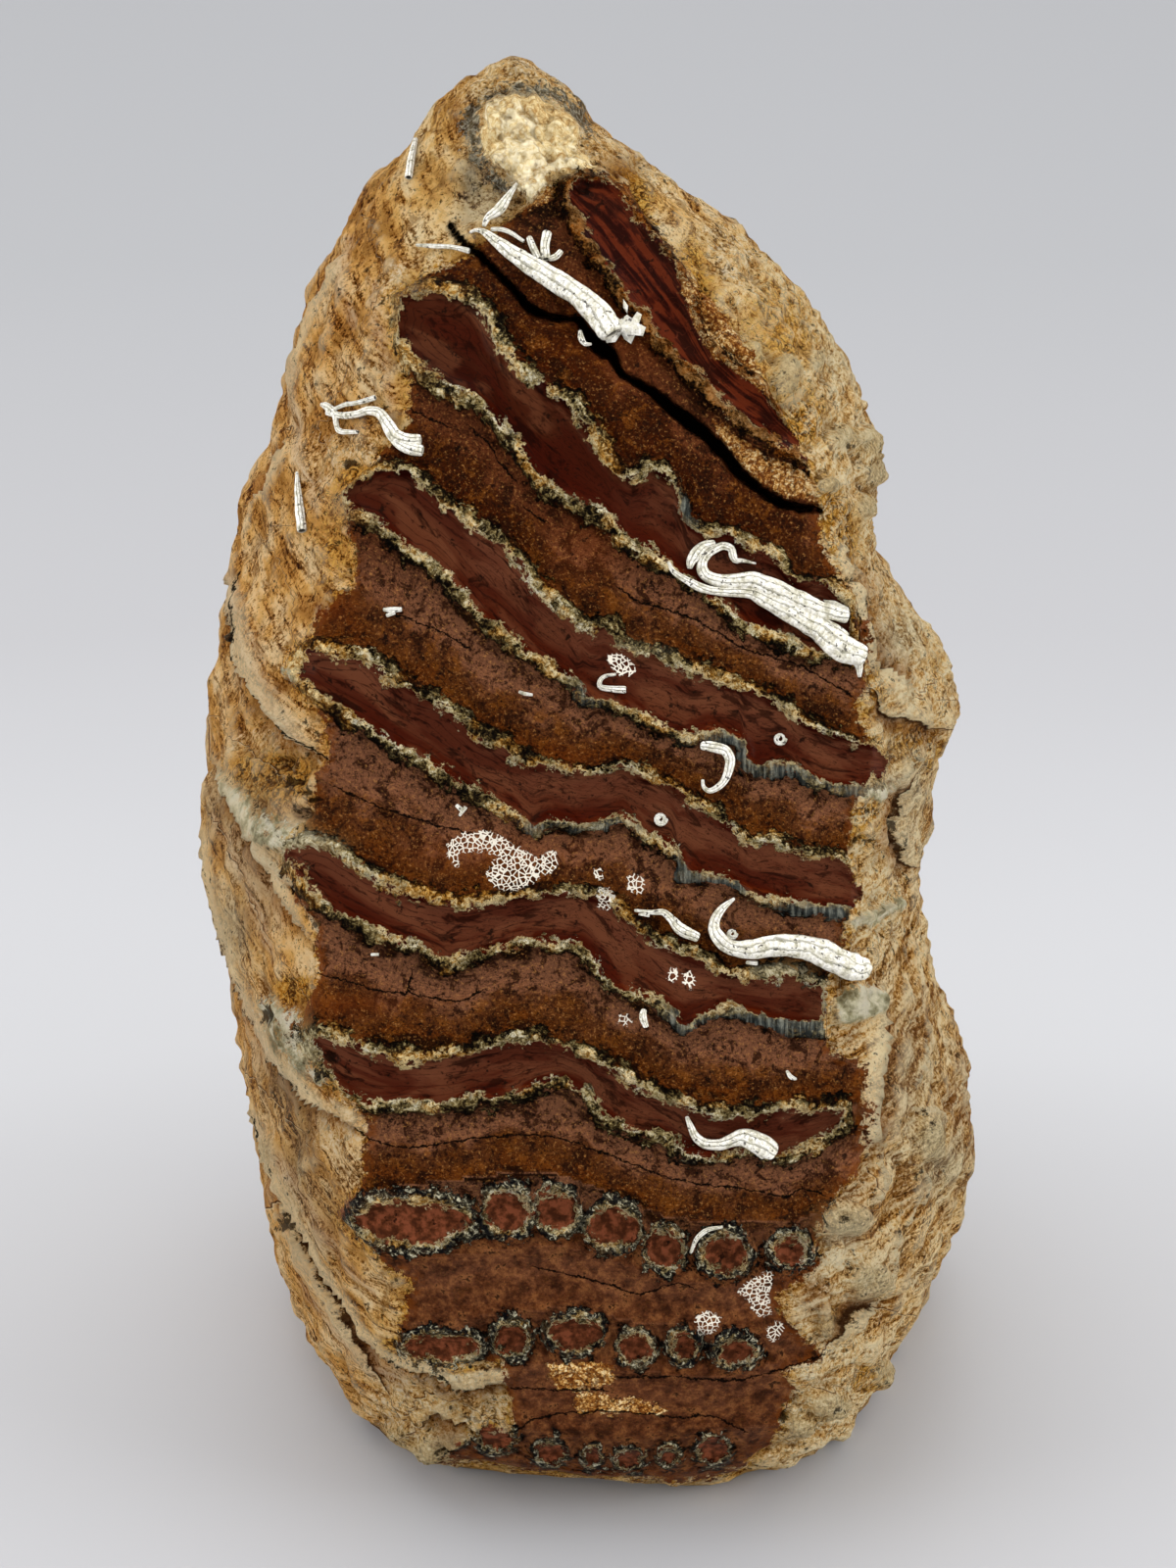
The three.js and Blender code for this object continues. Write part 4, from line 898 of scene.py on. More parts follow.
class Graph:
    """Builds one material's nodes with short calls."""

    def __init__(self, name):
        self.material = bpy.data.materials.new(name)
        self.material.use_nodes = True
        self.tree = self.material.node_tree
        self.tree.nodes.clear()

    def put(self, socket, value):
        if isinstance(value, bpy.types.NodeSocket):
            self.tree.links.new(value, socket)
        elif value is not None:
            socket.default_value = value

    def attr(self, name, vector=False):
        node = self.tree.nodes.new("ShaderNodeAttribute")
        node.attribute_name = name
        return node.outputs["Vector" if vector else "Fac"]

    def place_mm(self):
        coords = self.tree.nodes.new("ShaderNodeTexCoord")
        return self.stretch(coords.outputs["Object"], (1000, 1000, 1000))

    def stretch(self, vector, scale):
        node = self.tree.nodes.new("ShaderNodeVectorMath")
        node.operation = "MULTIPLY"
        self.put(node.inputs[0], vector)
        node.inputs[1].default_value = scale
        return node.outputs[0]

    def vector(self, x, y, z=0.0):
        node = self.tree.nodes.new("ShaderNodeCombineXYZ")
        for socket, value in zip(node.inputs, (x, y, z)):
            self.put(socket, value)
        return node.outputs[0]

    def split(self, vector):
        node = self.tree.nodes.new("ShaderNodeSeparateXYZ")
        self.put(node.inputs[0], vector)
        return node.outputs

    def math(self, operation, a, b=None, c=None):
        node = self.tree.nodes.new("ShaderNodeMath")
        node.operation = operation
        for socket, value in zip(node.inputs, (a, b, c)):
            self.put(socket, value)
        return node.outputs[0]

    def add(self, a, b):
        return self.math("ADD", a, b)

    def times(self, a, b):
        return self.math("MULTIPLY", a, b)

    def step(self, value, low, high):
        """0 at low and 1 at high, smooth between; low may be the larger."""
        node = self.tree.nodes.new("ShaderNodeMapRange")
        node.interpolation_type = "SMOOTHSTEP"
        self.put(node.inputs["Value"], value)
        self.put(node.inputs["From Min"], low)
        self.put(node.inputs["From Max"], high)
        return node.outputs[0]

    def noise(self, vector, scale, detail=3, rough=0.55, twist=0.0):
        """Noise centred on 0, about -0.5 to 0.5."""
        node = self.tree.nodes.new("ShaderNodeTexNoise")
        self.put(node.inputs["Vector"], vector)
        node.inputs["Scale"].default_value = scale
        node.inputs["Detail"].default_value = detail
        node.inputs["Roughness"].default_value = rough
        node.inputs["Distortion"].default_value = twist
        return self.add(node.outputs["Fac"], -0.5)

    def cells(self, vector, scale):
        """Distance from the nearest border between cells."""
        node = self.tree.nodes.new("ShaderNodeTexVoronoi")
        node.feature = "DISTANCE_TO_EDGE"
        self.put(node.inputs["Vector"], vector)
        node.inputs["Scale"].default_value = scale
        return node.outputs["Distance"]

    def warp(self, vector, scale, amount):
        """The vector pushed about by noise, by up to about an eighth of the amount."""
        node = self.tree.nodes.new("ShaderNodeTexNoise")
        self.put(node.inputs["Vector"], vector)
        node.inputs["Scale"].default_value = scale
        node.inputs["Detail"].default_value = 4
        push = self.tree.nodes.new("ShaderNodeVectorMath")
        push.operation = "MULTIPLY_ADD"
        self.put(push.inputs[0], node.outputs["Color"])
        push.inputs[1].default_value = (amount, amount, amount)
        self.put(push.inputs[2], vector)
        return push.outputs[0]

    def crumbs(self, vector, scale):
        """Crumbs: a random value 0 to 1 for each, and how far in from its edge a point lies."""
        near = self.tree.nodes.new("ShaderNodeTexVoronoi")
        self.put(near.inputs["Vector"], vector)
        near.inputs["Scale"].default_value = scale
        chance, _, _ = self.split(near.outputs["Color"])
        return chance, self.cells(vector, scale)

    def deepen(self, colour, power, gain):
        """The colour with its contrast raised, then scaled."""
        gamma = self.tree.nodes.new("ShaderNodeGamma")
        self.put(gamma.inputs[0], colour)
        gamma.inputs[1].default_value = power
        return self.stretch(gamma.outputs[0], (gain, gain, gain))

    def ramp(self, value, *stops):
        """Colour from (place, hex) stops."""
        node = self.tree.nodes.new("ShaderNodeValToRGB")
        while len(node.color_ramp.elements) < len(stops):
            node.color_ramp.elements.new(0.5)
        for element, (place_at, code) in zip(node.color_ramp.elements, stops):
            element.position = place_at
            element.color = linear(code)
        self.put(node.inputs[0], value)
        return node.outputs[0]

    def blend(self, share, a, b, how="MIX"):
        node = self.tree.nodes.new("ShaderNodeMix")
        node.data_type = "RGBA"
        node.blend_type = how
        self.put(node.inputs[0], share)
        self.put(node.inputs[6], linear(a) if isinstance(a, str) else a)
        self.put(node.inputs[7], linear(b) if isinstance(b, str) else b)
        return node.outputs[2]

    def lerp(self, share, a, b):
        node = self.tree.nodes.new("ShaderNodeMix")
        self.put(node.inputs[0], share)
        self.put(node.inputs[2], a)
        self.put(node.inputs[3], b)
        return node.outputs[0]

    def surface(self, colour, roughness, height=None, depth_mm=1.0):
        """A shader with its own relief, whose height of 1 stands for the depth."""
        shader = self.tree.nodes.new("ShaderNodeBsdfPrincipled")
        self.put(shader.inputs["Base Color"], colour)
        self.put(shader.inputs["Roughness"], roughness)
        if height is not None:
            bump = self.tree.nodes.new("ShaderNodeBump")
            bump.inputs["Distance"].default_value = depth_mm * MM
            self.put(bump.inputs["Height"], height)
            self.put(shader.inputs["Normal"], bump.outputs[0])
        return shader

    def either(self, share, first, second):
        """The first shader where the share is 0 and the second where it is 1."""
        node = self.tree.nodes.new("ShaderNodeMixShader")
        self.put(node.inputs[0], share)
        self.put(node.inputs[1], first.outputs[0])
        self.put(node.inputs[2], second.outputs[0])
        return node

    def finish(self, shader):
        output = self.tree.nodes.new("ShaderNodeOutputMaterial")
        self.put(output.inputs["Surface"], shader.outputs[0])
        return self.material


# ------------------------------------------------------------------ the tooth's material
def shared_layers(g):
    """Places, patches and edges that the walls and the worn face both read."""
    at = SimpleNamespace(mm=g.place_mm(), sheet=g.attr("sheet", True), band=g.attr("band"),
                         signed=g.attr("enamel"), gold=g.attr("gold"), pale=g.attr("pale"),
                         slate=g.attr("slate"), grey=g.attr("grey"), rust=g.attr("rust"))
    at.x, at.y, _ = g.split(at.sheet)
    at.chips = g.noise(at.mm, 1.1, 5, 0.72, 1.0)
    ragged = g.add(g.times(g.noise(at.mm, 0.5, 3), 3.2),
                   g.times(g.noise(at.mm, 1.5, 5, 0.75), 3.4))
    at.ragged = g.times(ragged, g.lerp(at.slate, 1.0, 0.3))
    edge = g.attr("edge")
    at.worn = g.step(g.add(edge, g.times(at.ragged, 1.2)), 0.15, -0.15)
    near_edge = g.times(g.step(g.math("ABSOLUTE", edge), 2.0, 0.3), 0.7)
    at.fringe = g.times(near_edge, g.step(g.noise(at.mm, 0.9, 4, 0.7), -0.06, 0.06))
    at.pit = g.step(g.add(g.attr("pit"), g.times(at.ragged, 0.9)), 0.45, 0.7)

    hair_width = g.add(0.14, g.times(g.noise(at.mm, 1.3, 2), 0.35))
    from_hair = g.math("ABSOLUTE", g.add(g.attr("hair"), g.times(at.ragged, 0.35)))
    hair = g.step(g.math("SUBTRACT", from_hair, hair_width), 0.06, -0.06)
    hair = g.times(hair, g.step(g.attr("hair_near"), 1.1, 0.8))
    open_crack = g.step(g.add(g.attr("crack"), g.times(at.ragged, 0.7)), 0.1, -0.1)
    at.dark = g.math("MAXIMUM", hair, open_crack)
    return at


def cement_colour(g, at):
    """Brown cement of the chewing face: a painted grey-brown sheen under a plate, rusty over the next."""
    flow = g.vector(g.times(at.x, 0.10), g.times(at.band, 4.0), g.times(at.y, 0.02))
    streaks = g.noise(flow, 1.6, 4, 0.6, 0.6)
    drift = g.noise(at.mm, 0.14, 4)
    mottle = g.noise(at.mm, 0.42, 6, 0.72, 0.6)
    # The ramp across the band paints a reflection: grey-brown sheen high in each band over the cement's
    # rusty brown lower down.
    place_in = g.add(g.add(at.band, g.times(streaks, 0.5)), g.times(drift, 0.9))
    colour = g.ramp(place_in, (0.0, "#1c0f06"), (0.1, "#593d2c"), (0.42, "#684733"),
                    (0.58, "#4a2c18"), (0.78, "#46270f"), (0.93, "#4d280b"), (1.0, "#241003"))
    colour = g.blend(g.step(at.y, 22.0, 38.0), colour, "#c2a891", "MULTIPLY")
    colour = g.blend(g.times(g.step(mottle, -0.01, -0.10), 0.85), colour, "#241007")
    rusty = g.times(g.step(mottle, 0.02, 0.12), g.step(at.band, 0.3, 0.6))
    colour = g.blend(g.times(rusty, 0.45), colour, "#6b4218")
    grain = g.noise(at.mm, 2.2, 5, 0.75)
    colour = g.blend(g.times(g.step(grain, 0.05, 0.16), 0.6), colour, "#8f693e")
    colour = g.blend(g.times(g.step(grain, -0.03, -0.14), 0.85), colour, "#120804")
    lines = g.noise(flow, 5.0, 3, 0.6, 1.5)
    thin = g.step(g.math("ABSOLUTE", lines), 0.026, 0.0)
    thin = g.times(thin, g.step(drift, -0.11, -0.01))
    colour = g.blend(g.times(thin, 0.85), colour, "#0c0503")
    colour = g.blend(g.times(at.rust, 0.4), colour, "#6c350f")
    low = g.ramp(g.add(g.noise(at.mm, 0.5, 5, 0.7), 0.5), (0.38, "#2f1a0f"), (0.5, "#523220"),
                 (0.62, "#765032"))
    colour = g.blend(g.times(g.step(at.y, -58.0, -64.0), 0.7), colour, low)
    colour = g.blend(at.fringe, colour, "#5e3412")
    return g.blend(g.times(at.pale, 0.5), colour, "#b9a677"), grain, mottle


def tan_colour(g, at, grain):
    """Sandy crumbs that lie on some of the cement."""
    crumb, seam = g.crumbs(g.warp(at.mm, 0.7, 4.0), 0.7)
    tan = g.ramp(g.add(g.times(crumb, 0.3), g.add(g.times(grain, 1.9), 0.06)), (0.0, "#5a2c0c"),
                 (0.16, "#9c6428"), (0.3, "#cc9c54"), (0.46, "#efd6a2"))
    return g.blend(g.times(g.step(seam, 0.12, 0.02), 0.8), tan, "#4a220a")


def dentine_colour(g, at, in_first, in_rings, line):
    """Glossy dentine pool: a painted purple-grey reflection under its upper edge, blood red below."""
    flow = g.vector(g.times(at.x, 0.07), g.times(at.band, 4.0), g.times(at.y, 0.02))
    streaks = g.noise(flow, 2.2, 4, 0.55, 0.4)
    # The ramp across the band paints a purple-grey reflection high in each pool over the dentine's dark
    # red; the sheen noise breaks it into patches.
    place_in = g.add(at.band, g.times(streaks, 0.5))
    colour = g.ramp(place_in, (0.06, "#2a0a04"), (0.16, "#503022"), (0.5, "#4a2a1c"),
                    (0.76, "#3b180c"), (0.88, "#391206"), (0.95, "#4c200a"), (1.0, "#240602"))
    colour = g.blend(g.step(at.y, 33.0, 46.0), colour, "#bfa79a", "MULTIPLY")
    sheen = g.noise(g.stretch(flow, (1.6, 0.7, 1.0)), 0.8, 3, 0.5, 0.5)
    colour = g.blend(g.times(g.step(sheen, 0.01, 0.09), 0.55), colour, "#330f07")
    colour = g.blend(g.times(g.step(sheen, -0.02, -0.1), 0.3), colour, "#62402c")
    growth = g.math("SINE", g.times(g.add(at.signed, g.times(streaks, 2.0)), 6.0))
    growth = g.times(g.step(growth, 0.9, 1.0), g.step(at.x, 4.0, -14.0))
    colour = g.blend(g.times(growth, 0.6), colour, "#120504")
    lines = g.noise(flow, 5.0, 3, 0.55, 1.0)
    thin = g.times(g.step(g.math("ABSOLUTE", lines), 0.022, 0.0), g.step(at.x, -30.0, -5.0))
    colour = g.blend(g.times(thin, 0.75), colour, "#0c0302")
    smudges = g.noise(g.stretch(flow, (2.5, 1.0, 1.0)), 1.2, 5, 0.7, 0.8)
    colour = g.blend(g.times(g.step(smudges, -0.03, -0.12), 0.7), colour, "#140402")

    contour = g.noise(at.mm, 0.24, 2)
    contour = g.step(g.math("ABSOLUTE", g.math("PINGPONG", contour, 0.05)), 0.004, 0.0)
    cloud = g.add(g.times(g.noise(at.mm, 0.4, 3, 0.6), 0.5), g.times(streaks, 1.5))
    maroon = g.ramp(g.add(cloud, 0.5), (0.4, "#1d0705"), (0.5, "#2f1009"), (0.6, "#4a2010"))
    maroon = g.blend(g.times(contour, 0.3), maroon, "#6b3a28")
    colour = g.blend(g.times(in_first, 0.85), colour, maroon)
    dull = g.ramp(g.add(g.noise(at.mm, 0.8, 4, 0.6), 0.5), (0.4, "#3a2013"), (0.5, "#4e2d1c"),
                  (0.6, "#653c29"))
    dull = g.blend(g.step(line, -0.9, -0.5), dull, "#200904")
    return g.blend(in_rings, colour, dull), streaks


def enamel_colour(g, at, in_first, in_rings, line, half):
    """Crumbled enamel: golden by the pool, cream and olive crumbs, black by the cement."""
    broad = g.noise(at.mm, 0.22, 3)
    along = g.vector(g.times(at.x, 0.42), g.times(line, 1.8), g.times(at.y, 0.25))
    chance, seam = g.crumbs(g.warp(along, 1.1, 2.6), 0.8)
    across = g.math("DIVIDE", line, half)
    worth = g.add(g.times(chance, 0.5), g.add(g.times(across, -0.28), g.times(at.chips, 2.0)))
    worth = g.add(g.add(worth, g.times(broad, 0.8)), 0.22)
    colour = g.ramp(worth, (0.0, "#050403"), (0.24, "#17110a"), (0.36, "#4a3a1e"),
                    (0.48, "#7f6c40"), (0.6, "#ab9762"), (0.76, "#d2c398"), (0.94, "#f0e8cc"))
    golden = g.ramp(worth, (0.0, "#140a03"), (0.26, "#55300c"), (0.42, "#9c6822"),
                    (0.58, "#d29c48"), (0.76, "#f0d498"))
    golden_in = g.step(g.add(broad, g.times(across, -0.06)), 0.0, 0.1)
    golden_in = g.math("MAXIMUM", g.step(at.gold, 0.0, 0.5), g.times(golden_in, 0.75))
    colour = g.blend(golden_in, colour, golden)
    colour = g.blend(g.times(g.step(seam, 0.10, 0.01), 0.7), colour, "#0b0705")
    fibres = g.noise(g.stretch(at.sheet, (2.2, 0.3, 0.2)), 1.0, 3, 0.6)
    whole = g.ramp(g.add(fibres, 0.5), (0.35, "#1f2322"), (0.5, "#444946"), (0.62, "#84867a"))
    colour = g.blend(g.times(at.slate, 0.92), colour, whole)
    creamy = g.ramp(g.add(at.chips, 0.5), (0.38, "#5d5238"), (0.48, "#b5a880"),
                    (0.58, "#e2d9b8"))
    colour = g.blend(g.times(at.pale, 0.8), colour, creamy)
    speckled = g.ramp(g.add(at.chips, 0.5), (0.38, "#050507"), (0.5, "#1b1d20"),
                      (0.56, "#5e5a46"), (0.61, "#dcd6b8"))
    speckled_in = g.times(in_rings, g.step(line, -0.7, 0.0))
    colour = g.blend(g.times(speckled_in, 0.9), colour, speckled)
    return g.blend(g.times(in_first, 0.9), colour, "#a8763e", "MULTIPLY")


def fibre_colour(g, at):
    """Tan fibrous cement of the side walls, with crumbling and golden places."""
    across, along, side = g.split(g.attr("fibre", True))
    flow = g.vector(across, g.times(along, 0.16), side)
    strands = g.noise(flow, 0.9, 6, 0.68, 0.5)
    bundles = g.noise(flow, 0.22, 4, 0.6, 0.4)
    blotch = g.noise(at.mm, 0.11, 5, 0.65)
    grain = g.noise(at.mm, 1.7, 6, 0.78)
    colour = g.ramp(g.add(g.add(blotch, g.times(bundles, 0.7)), 0.5),
                    (0.32, "#bd8a44"), (0.43, "#e2ad5e"), (0.5, "#f2c478"), (0.57, "#fcd89a"),
                    (0.68, "#ffe6b4"))
    shade = g.ramp(g.add(g.add(strands, g.times(grain, 1.1)), 0.5), (0.28, "#2e1a0c"),
                   (0.37, "#7a5630"), (0.44, "#ccb48c"), (0.51, "#ffffff"))
    colour = g.blend(1.0, colour, shade, "MULTIPLY")
    smudge = g.noise(at.mm, 0.3, 5, 0.7, 0.8)
    colour = g.blend(g.times(g.step(smudge, -0.01, -0.13), 0.6), colour, "#8c5e28")
    colour = g.blend(g.times(g.step(strands, 0.14, 0.26), 0.6), colour, "#e2cda2")
    crumb, split = g.crumbs(g.warp(at.mm, 0.6, 4.0), 0.5)
    seam = g.times(g.step(g.add(split, g.times(grain, 0.3)), 0.16, 0.03),
                   g.step(crumb, 0.1, 0.5))
    broken = g.ramp(g.add(g.add(g.times(crumb, 0.16), g.times(strands, 0.8)),
                          g.add(g.times(grain, 1.7), 0.3)),
                    (0.0, "#4a240c"), (0.14, "#a86c2c"), (0.28, "#e2ae62"), (0.42, "#f6d594"),
                    (0.58, "#fff2d2"))
    patchy = g.step(g.noise(at.mm, 0.35, 3), -0.04, 0.1)
    broken = g.blend(g.times(g.times(seam, patchy), 0.85), broken, "#3a1c08")
    broken_in = g.step(g.add(g.attr("crumbly"), g.times(grain, 1.5)), 0.35, 0.6)
    colour = g.blend(g.times(broken_in, 0.75), colour, broken)
    golden = g.ramp(g.add(grain, 0.5), (0.34, "#5c2c08"), (0.46, "#c48324"), (0.6, "#f0c468"))
    golden = g.blend(g.times(seam, 0.9), golden, "#3a1405")
    gold = g.math("MAXIMUM", at.gold, at.fringe)
    gold_in = g.step(g.add(gold, g.times(grain, 2.0)), 0.35, 0.6)
    colour = g.blend(gold_in, colour, golden)
    ashen = g.ramp(g.add(grain, 0.5), (0.36, "#23221c"), (0.5, "#76735f"), (0.64, "#b0ab94"))
    colour = g.blend(g.times(at.grey, 0.75), colour, ashen)
    reddish = g.ramp(g.add(grain, 0.5), (0.34, "#280e04"), (0.48, "#743c12"), (0.62, "#a86a2e"))
    colour = g.blend(g.times(at.rust, 0.75), colour, reddish)
    colour = g.blend(g.times(at.pale, 0.85), colour, "#d8ceae")
    holes = g.step(g.add(grain, g.times(blotch, 0.4)), -0.11, -0.16)
    colour = g.blend(g.times(holes, 0.9), colour, "#241206")
    cracks = g.step(g.math("ABSOLUTE", g.add(bundles, g.times(grain, 0.25))), 0.006, 0.0)
    colour = g.blend(g.times(cracks, g.times(g.step(blotch, 0.0, 0.06), 0.8)), colour, "#3a1c0a")
    # Painted shade in the hollows of the shaped wall, and a painted highlight on its ridges.
    hollow = g.add(g.attr("hollow"), g.times(grain, 0.8))
    colour = g.blend(g.times(g.step(hollow, 0.15, 1.0), 0.45), colour, "#7a4a1c")
    colour = g.blend(g.times(g.step(hollow, -0.15, -0.7), 0.4), colour, "#fbe9bd")
    return colour, strands, grain


def side_tints(g, at, colour, strands, grain):
    """The left wall warmer, the right wall flecked with painted highlights and shade, and rosy streaks
    between.
    """
    on_left = g.times(g.step(at.x, -22.0, -36.0), 0.6)
    colour = g.blend(on_left, colour, "#ffeede", "MULTIPLY")
    # Painted highlights and painted shade flecked over the right wall's fibres.
    on_right = g.step(at.x, 20.0, 34.0)
    fleck = g.add(strands, grain)
    light, shade = g.step(fleck, -0.01, 0.13), g.step(fleck, -0.1, -0.22)
    colour = g.blend(g.times(g.times(on_right, light), 0.6), colour, "#ffecbe")
    colour = g.blend(g.times(g.times(on_right, shade), 0.5), colour, "#5a3814")
    streak = g.times(g.attr("streak"), g.step(strands, -0.14, 0.06))
    rosy = g.ramp(g.add(g.add(strands, g.times(grain, 0.8)), 0.5), (0.34, "#5c3824"),
                  (0.42, "#96684a"), (0.5, "#c49a74"), (0.62, "#e8cfac"))
    return g.blend(g.times(streak, 0.55), colour, rosy)


def wall_surface(g, at):
    """The side walls: tan fibres with growths, shells, ledges and the plate on top."""
    colour, strands, grain = fibre_colour(g, at)
    colour = side_tints(g, at, colour, strands, grain)
    crystal = g.ramp(g.add(grain, 0.5), (0.32, "#2a1f12"), (0.42, "#7c6a44"), (0.52, "#b8a474"),
                     (0.64, "#ead9ae"))
    colour = g.blend(g.times(g.attr("pearl"), 0.45), colour, crystal)
    shell_in = g.step(g.add(g.attr("shell"), g.times(at.ragged, 1.3)), 0.3, -0.4)
    shell = g.ramp(g.add(g.add(g.times(at.chips, 0.5), g.noise(at.mm, 0.35, 3)), 0.5),
                   (0.36, "#6d6a4c"), (0.46, "#a9a684"), (0.54, "#d8d3b2"), (0.62, "#f2ecd2"))
    colour = g.blend(g.times(shell_in, 0.8), colour, shell)
    rim = g.step(g.add(g.attr("rim"), g.times(at.chips, 0.9)), 0.35, 0.6)
    rim = g.times(rim, g.step(grain, -0.12, 0.06))
    colour = g.blend(g.times(rim, 0.65), colour, "#d9cba6")

    # Painted shade below each ledge, a painted highlight along its proud edge and a painted shadow in the
    # crease.
    from_ledge = g.add(g.attr("crevice"), g.times(at.ragged, 0.8))
    shaded = g.times(g.step(from_ledge, 5.0, 0.4), g.step(from_ledge, -0.2, 0.2))
    colour = g.blend(g.times(shaded, 0.75), colour, "#a06a34", "MULTIPLY")
    ledge_highlight = g.times(g.step(from_ledge, -2.6, -0.9), g.step(from_ledge, 0.0, -0.4))
    colour = g.blend(g.times(ledge_highlight, 0.4), colour, "#fbe6b8")
    crevice = g.times(g.step(from_ledge, 1.7, 0.5), g.step(from_ledge, -0.3, 0.05))
    colour = g.blend(g.times(crevice, 0.85), colour, "#281206")
    # Pits painted near black: painted shade in them.
    colour = g.blend(g.times(at.pit, 0.85), colour, "#1c0e06")

    on_rim = g.step(g.add(g.attr("top_rim"), g.times(at.ragged, 2.2)), 0.3, -0.3)
    rim_crumbs = g.ramp(g.add(at.chips, 0.5), (0.4, "#14120d"), (0.47, "#4a4636"),
                        (0.53, "#6f6e66"), (0.6, "#c0bba2"))
    colour = g.blend(g.times(on_rim, 0.85), colour, rim_crumbs)
    plate = g.step(g.add(g.attr("plate"), g.times(at.ragged, 0.8)), 0.3, 0.0)
    facet, seam = g.crumbs(g.warp(at.mm, 0.3, 6.0), 0.2)
    creamy = g.ramp(g.add(g.times(facet, 0.3), g.add(g.times(at.chips, 1.3), 0.35)),
                    (0.2, "#8a6432"), (0.36, "#c4a066"), (0.5, "#dfc892"), (0.72, "#f3e6c2"))
    creamy = g.blend(g.times(g.step(seam, 0.08, 0.01), 0.4), creamy, "#7a5426")
    colour = g.blend(plate, colour, creamy)
    colour = g.blend(g.times(at.dark, 0.97), colour, "#040302")

    height = g.add(g.times(strands, 2.4), g.times(grain, 1.8))
    height = g.lerp(plate, height, g.times(at.chips, 0.8))
    height = g.math("SUBTRACT", height, g.times(crevice, 0.5))
    return g.surface(colour, g.lerp(at.dark, 0.66, 0.9), height)


def face_surface(g, at):
    """The worn chewing face: cement, enamel bands, dentine pools and white crusts."""
    half = g.times(g.attr("half"), g.add(0.66, g.times(g.noise(at.mm, 0.3, 3), 2.8)))
    line = g.add(at.signed, at.ragged)
    in_enamel = g.step(g.math("SUBTRACT", g.math("ABSOLUTE", line), half), 0.08, -0.08)
    in_pool = g.step(g.add(line, half), 0.04, -0.08)
    in_rings = g.step(at.y, -51.0, -54.0)
    in_first = g.step(g.add(at.x, at.y), 62.0, 66.0)

    cement, grain, mottle = cement_colour(g, at)
    dentine, flow = dentine_colour(g, at, in_first, in_rings, line)
    enamel = enamel_colour(g, at, in_first, in_rings, line, half)
    colour = g.deepen(g.blend(in_pool, cement, dentine), 1.2, 1.8)
    tan_in = g.step(g.add(g.attr("tan"), g.times(at.ragged, 0.8)), 0.15, -0.1)
    tan_in = g.times(tan_in, g.lerp(in_first, 1.0, 0.6))
    colour = g.blend(tan_in, colour, tan_colour(g, at, grain))
    colour = g.blend(in_enamel, colour, enamel)
    past_enamel = g.math("SUBTRACT", line, half)
    gap = g.times(g.step(past_enamel, -0.3, -0.05), g.step(past_enamel, 0.32, 0.1))
    gap = g.times(gap, g.step(g.noise(at.mm, 0.6, 3), -0.05, 0.06))
    colour = g.blend(g.times(gap, 0.95), colour, "#060403")
    # Pits painted near black: painted shade in them.
    colour = g.blend(g.times(at.pit, 0.85), colour, "#0c0503")
    from_pool = g.add(line, half)
    lip = g.times(g.step(from_pool, -0.16, 0.0), g.step(from_pool, 0.26, 0.10))
    lip = g.times(lip, g.step(g.noise(at.mm, 0.7, 3), -0.05, 0.1))
    colour = g.blend(g.times(lip, 0.75), colour, "#c4ae7c")
    colour = g.blend(g.times(at.dark, 0.97), colour, "#040302")
    crust_in = g.step(g.add(g.attr("crust"), g.times(at.ragged, 0.5)), 0.05, -0.1)
    lace = g.times(crust_in, g.step(g.cells(at.mm, 1.5), 0.14, 0.07))
    colour = g.blend(lace, colour, "#e4dccb")

    height = g.add(g.times(grain, 0.3), g.times(mottle, 0.6))
    height = g.lerp(in_enamel, height, g.times(at.chips, 1.8))
    height = g.lerp(in_pool, height, 0.0)
    height = g.math("SUBTRACT", height, g.times(gap, 0.45))
    rough = g.lerp(in_pool, g.add(0.36, g.times(grain, 0.5)), g.add(0.28, g.times(flow, 0.4)))
    rough = g.lerp(in_enamel, rough, 0.38)
    rough = g.lerp(g.math("MAXIMUM", at.dark, lace), rough, 0.9)
    return g.surface(colour, rough, height)


def tooth_material():
    g = Graph("fossil_tooth_surface")
    at = shared_layers(g)
    wall, face = wall_surface(g, at), face_surface(g, at)
    for shader in (wall, face):
        shader.inputs["Specular IOR Level"].default_value = 0.02
        shader.inputs["Specular Tint"].default_value = (1.0, 0.72, 0.5, 1)
    return g.finish(g.either(at.worn, wall, face))


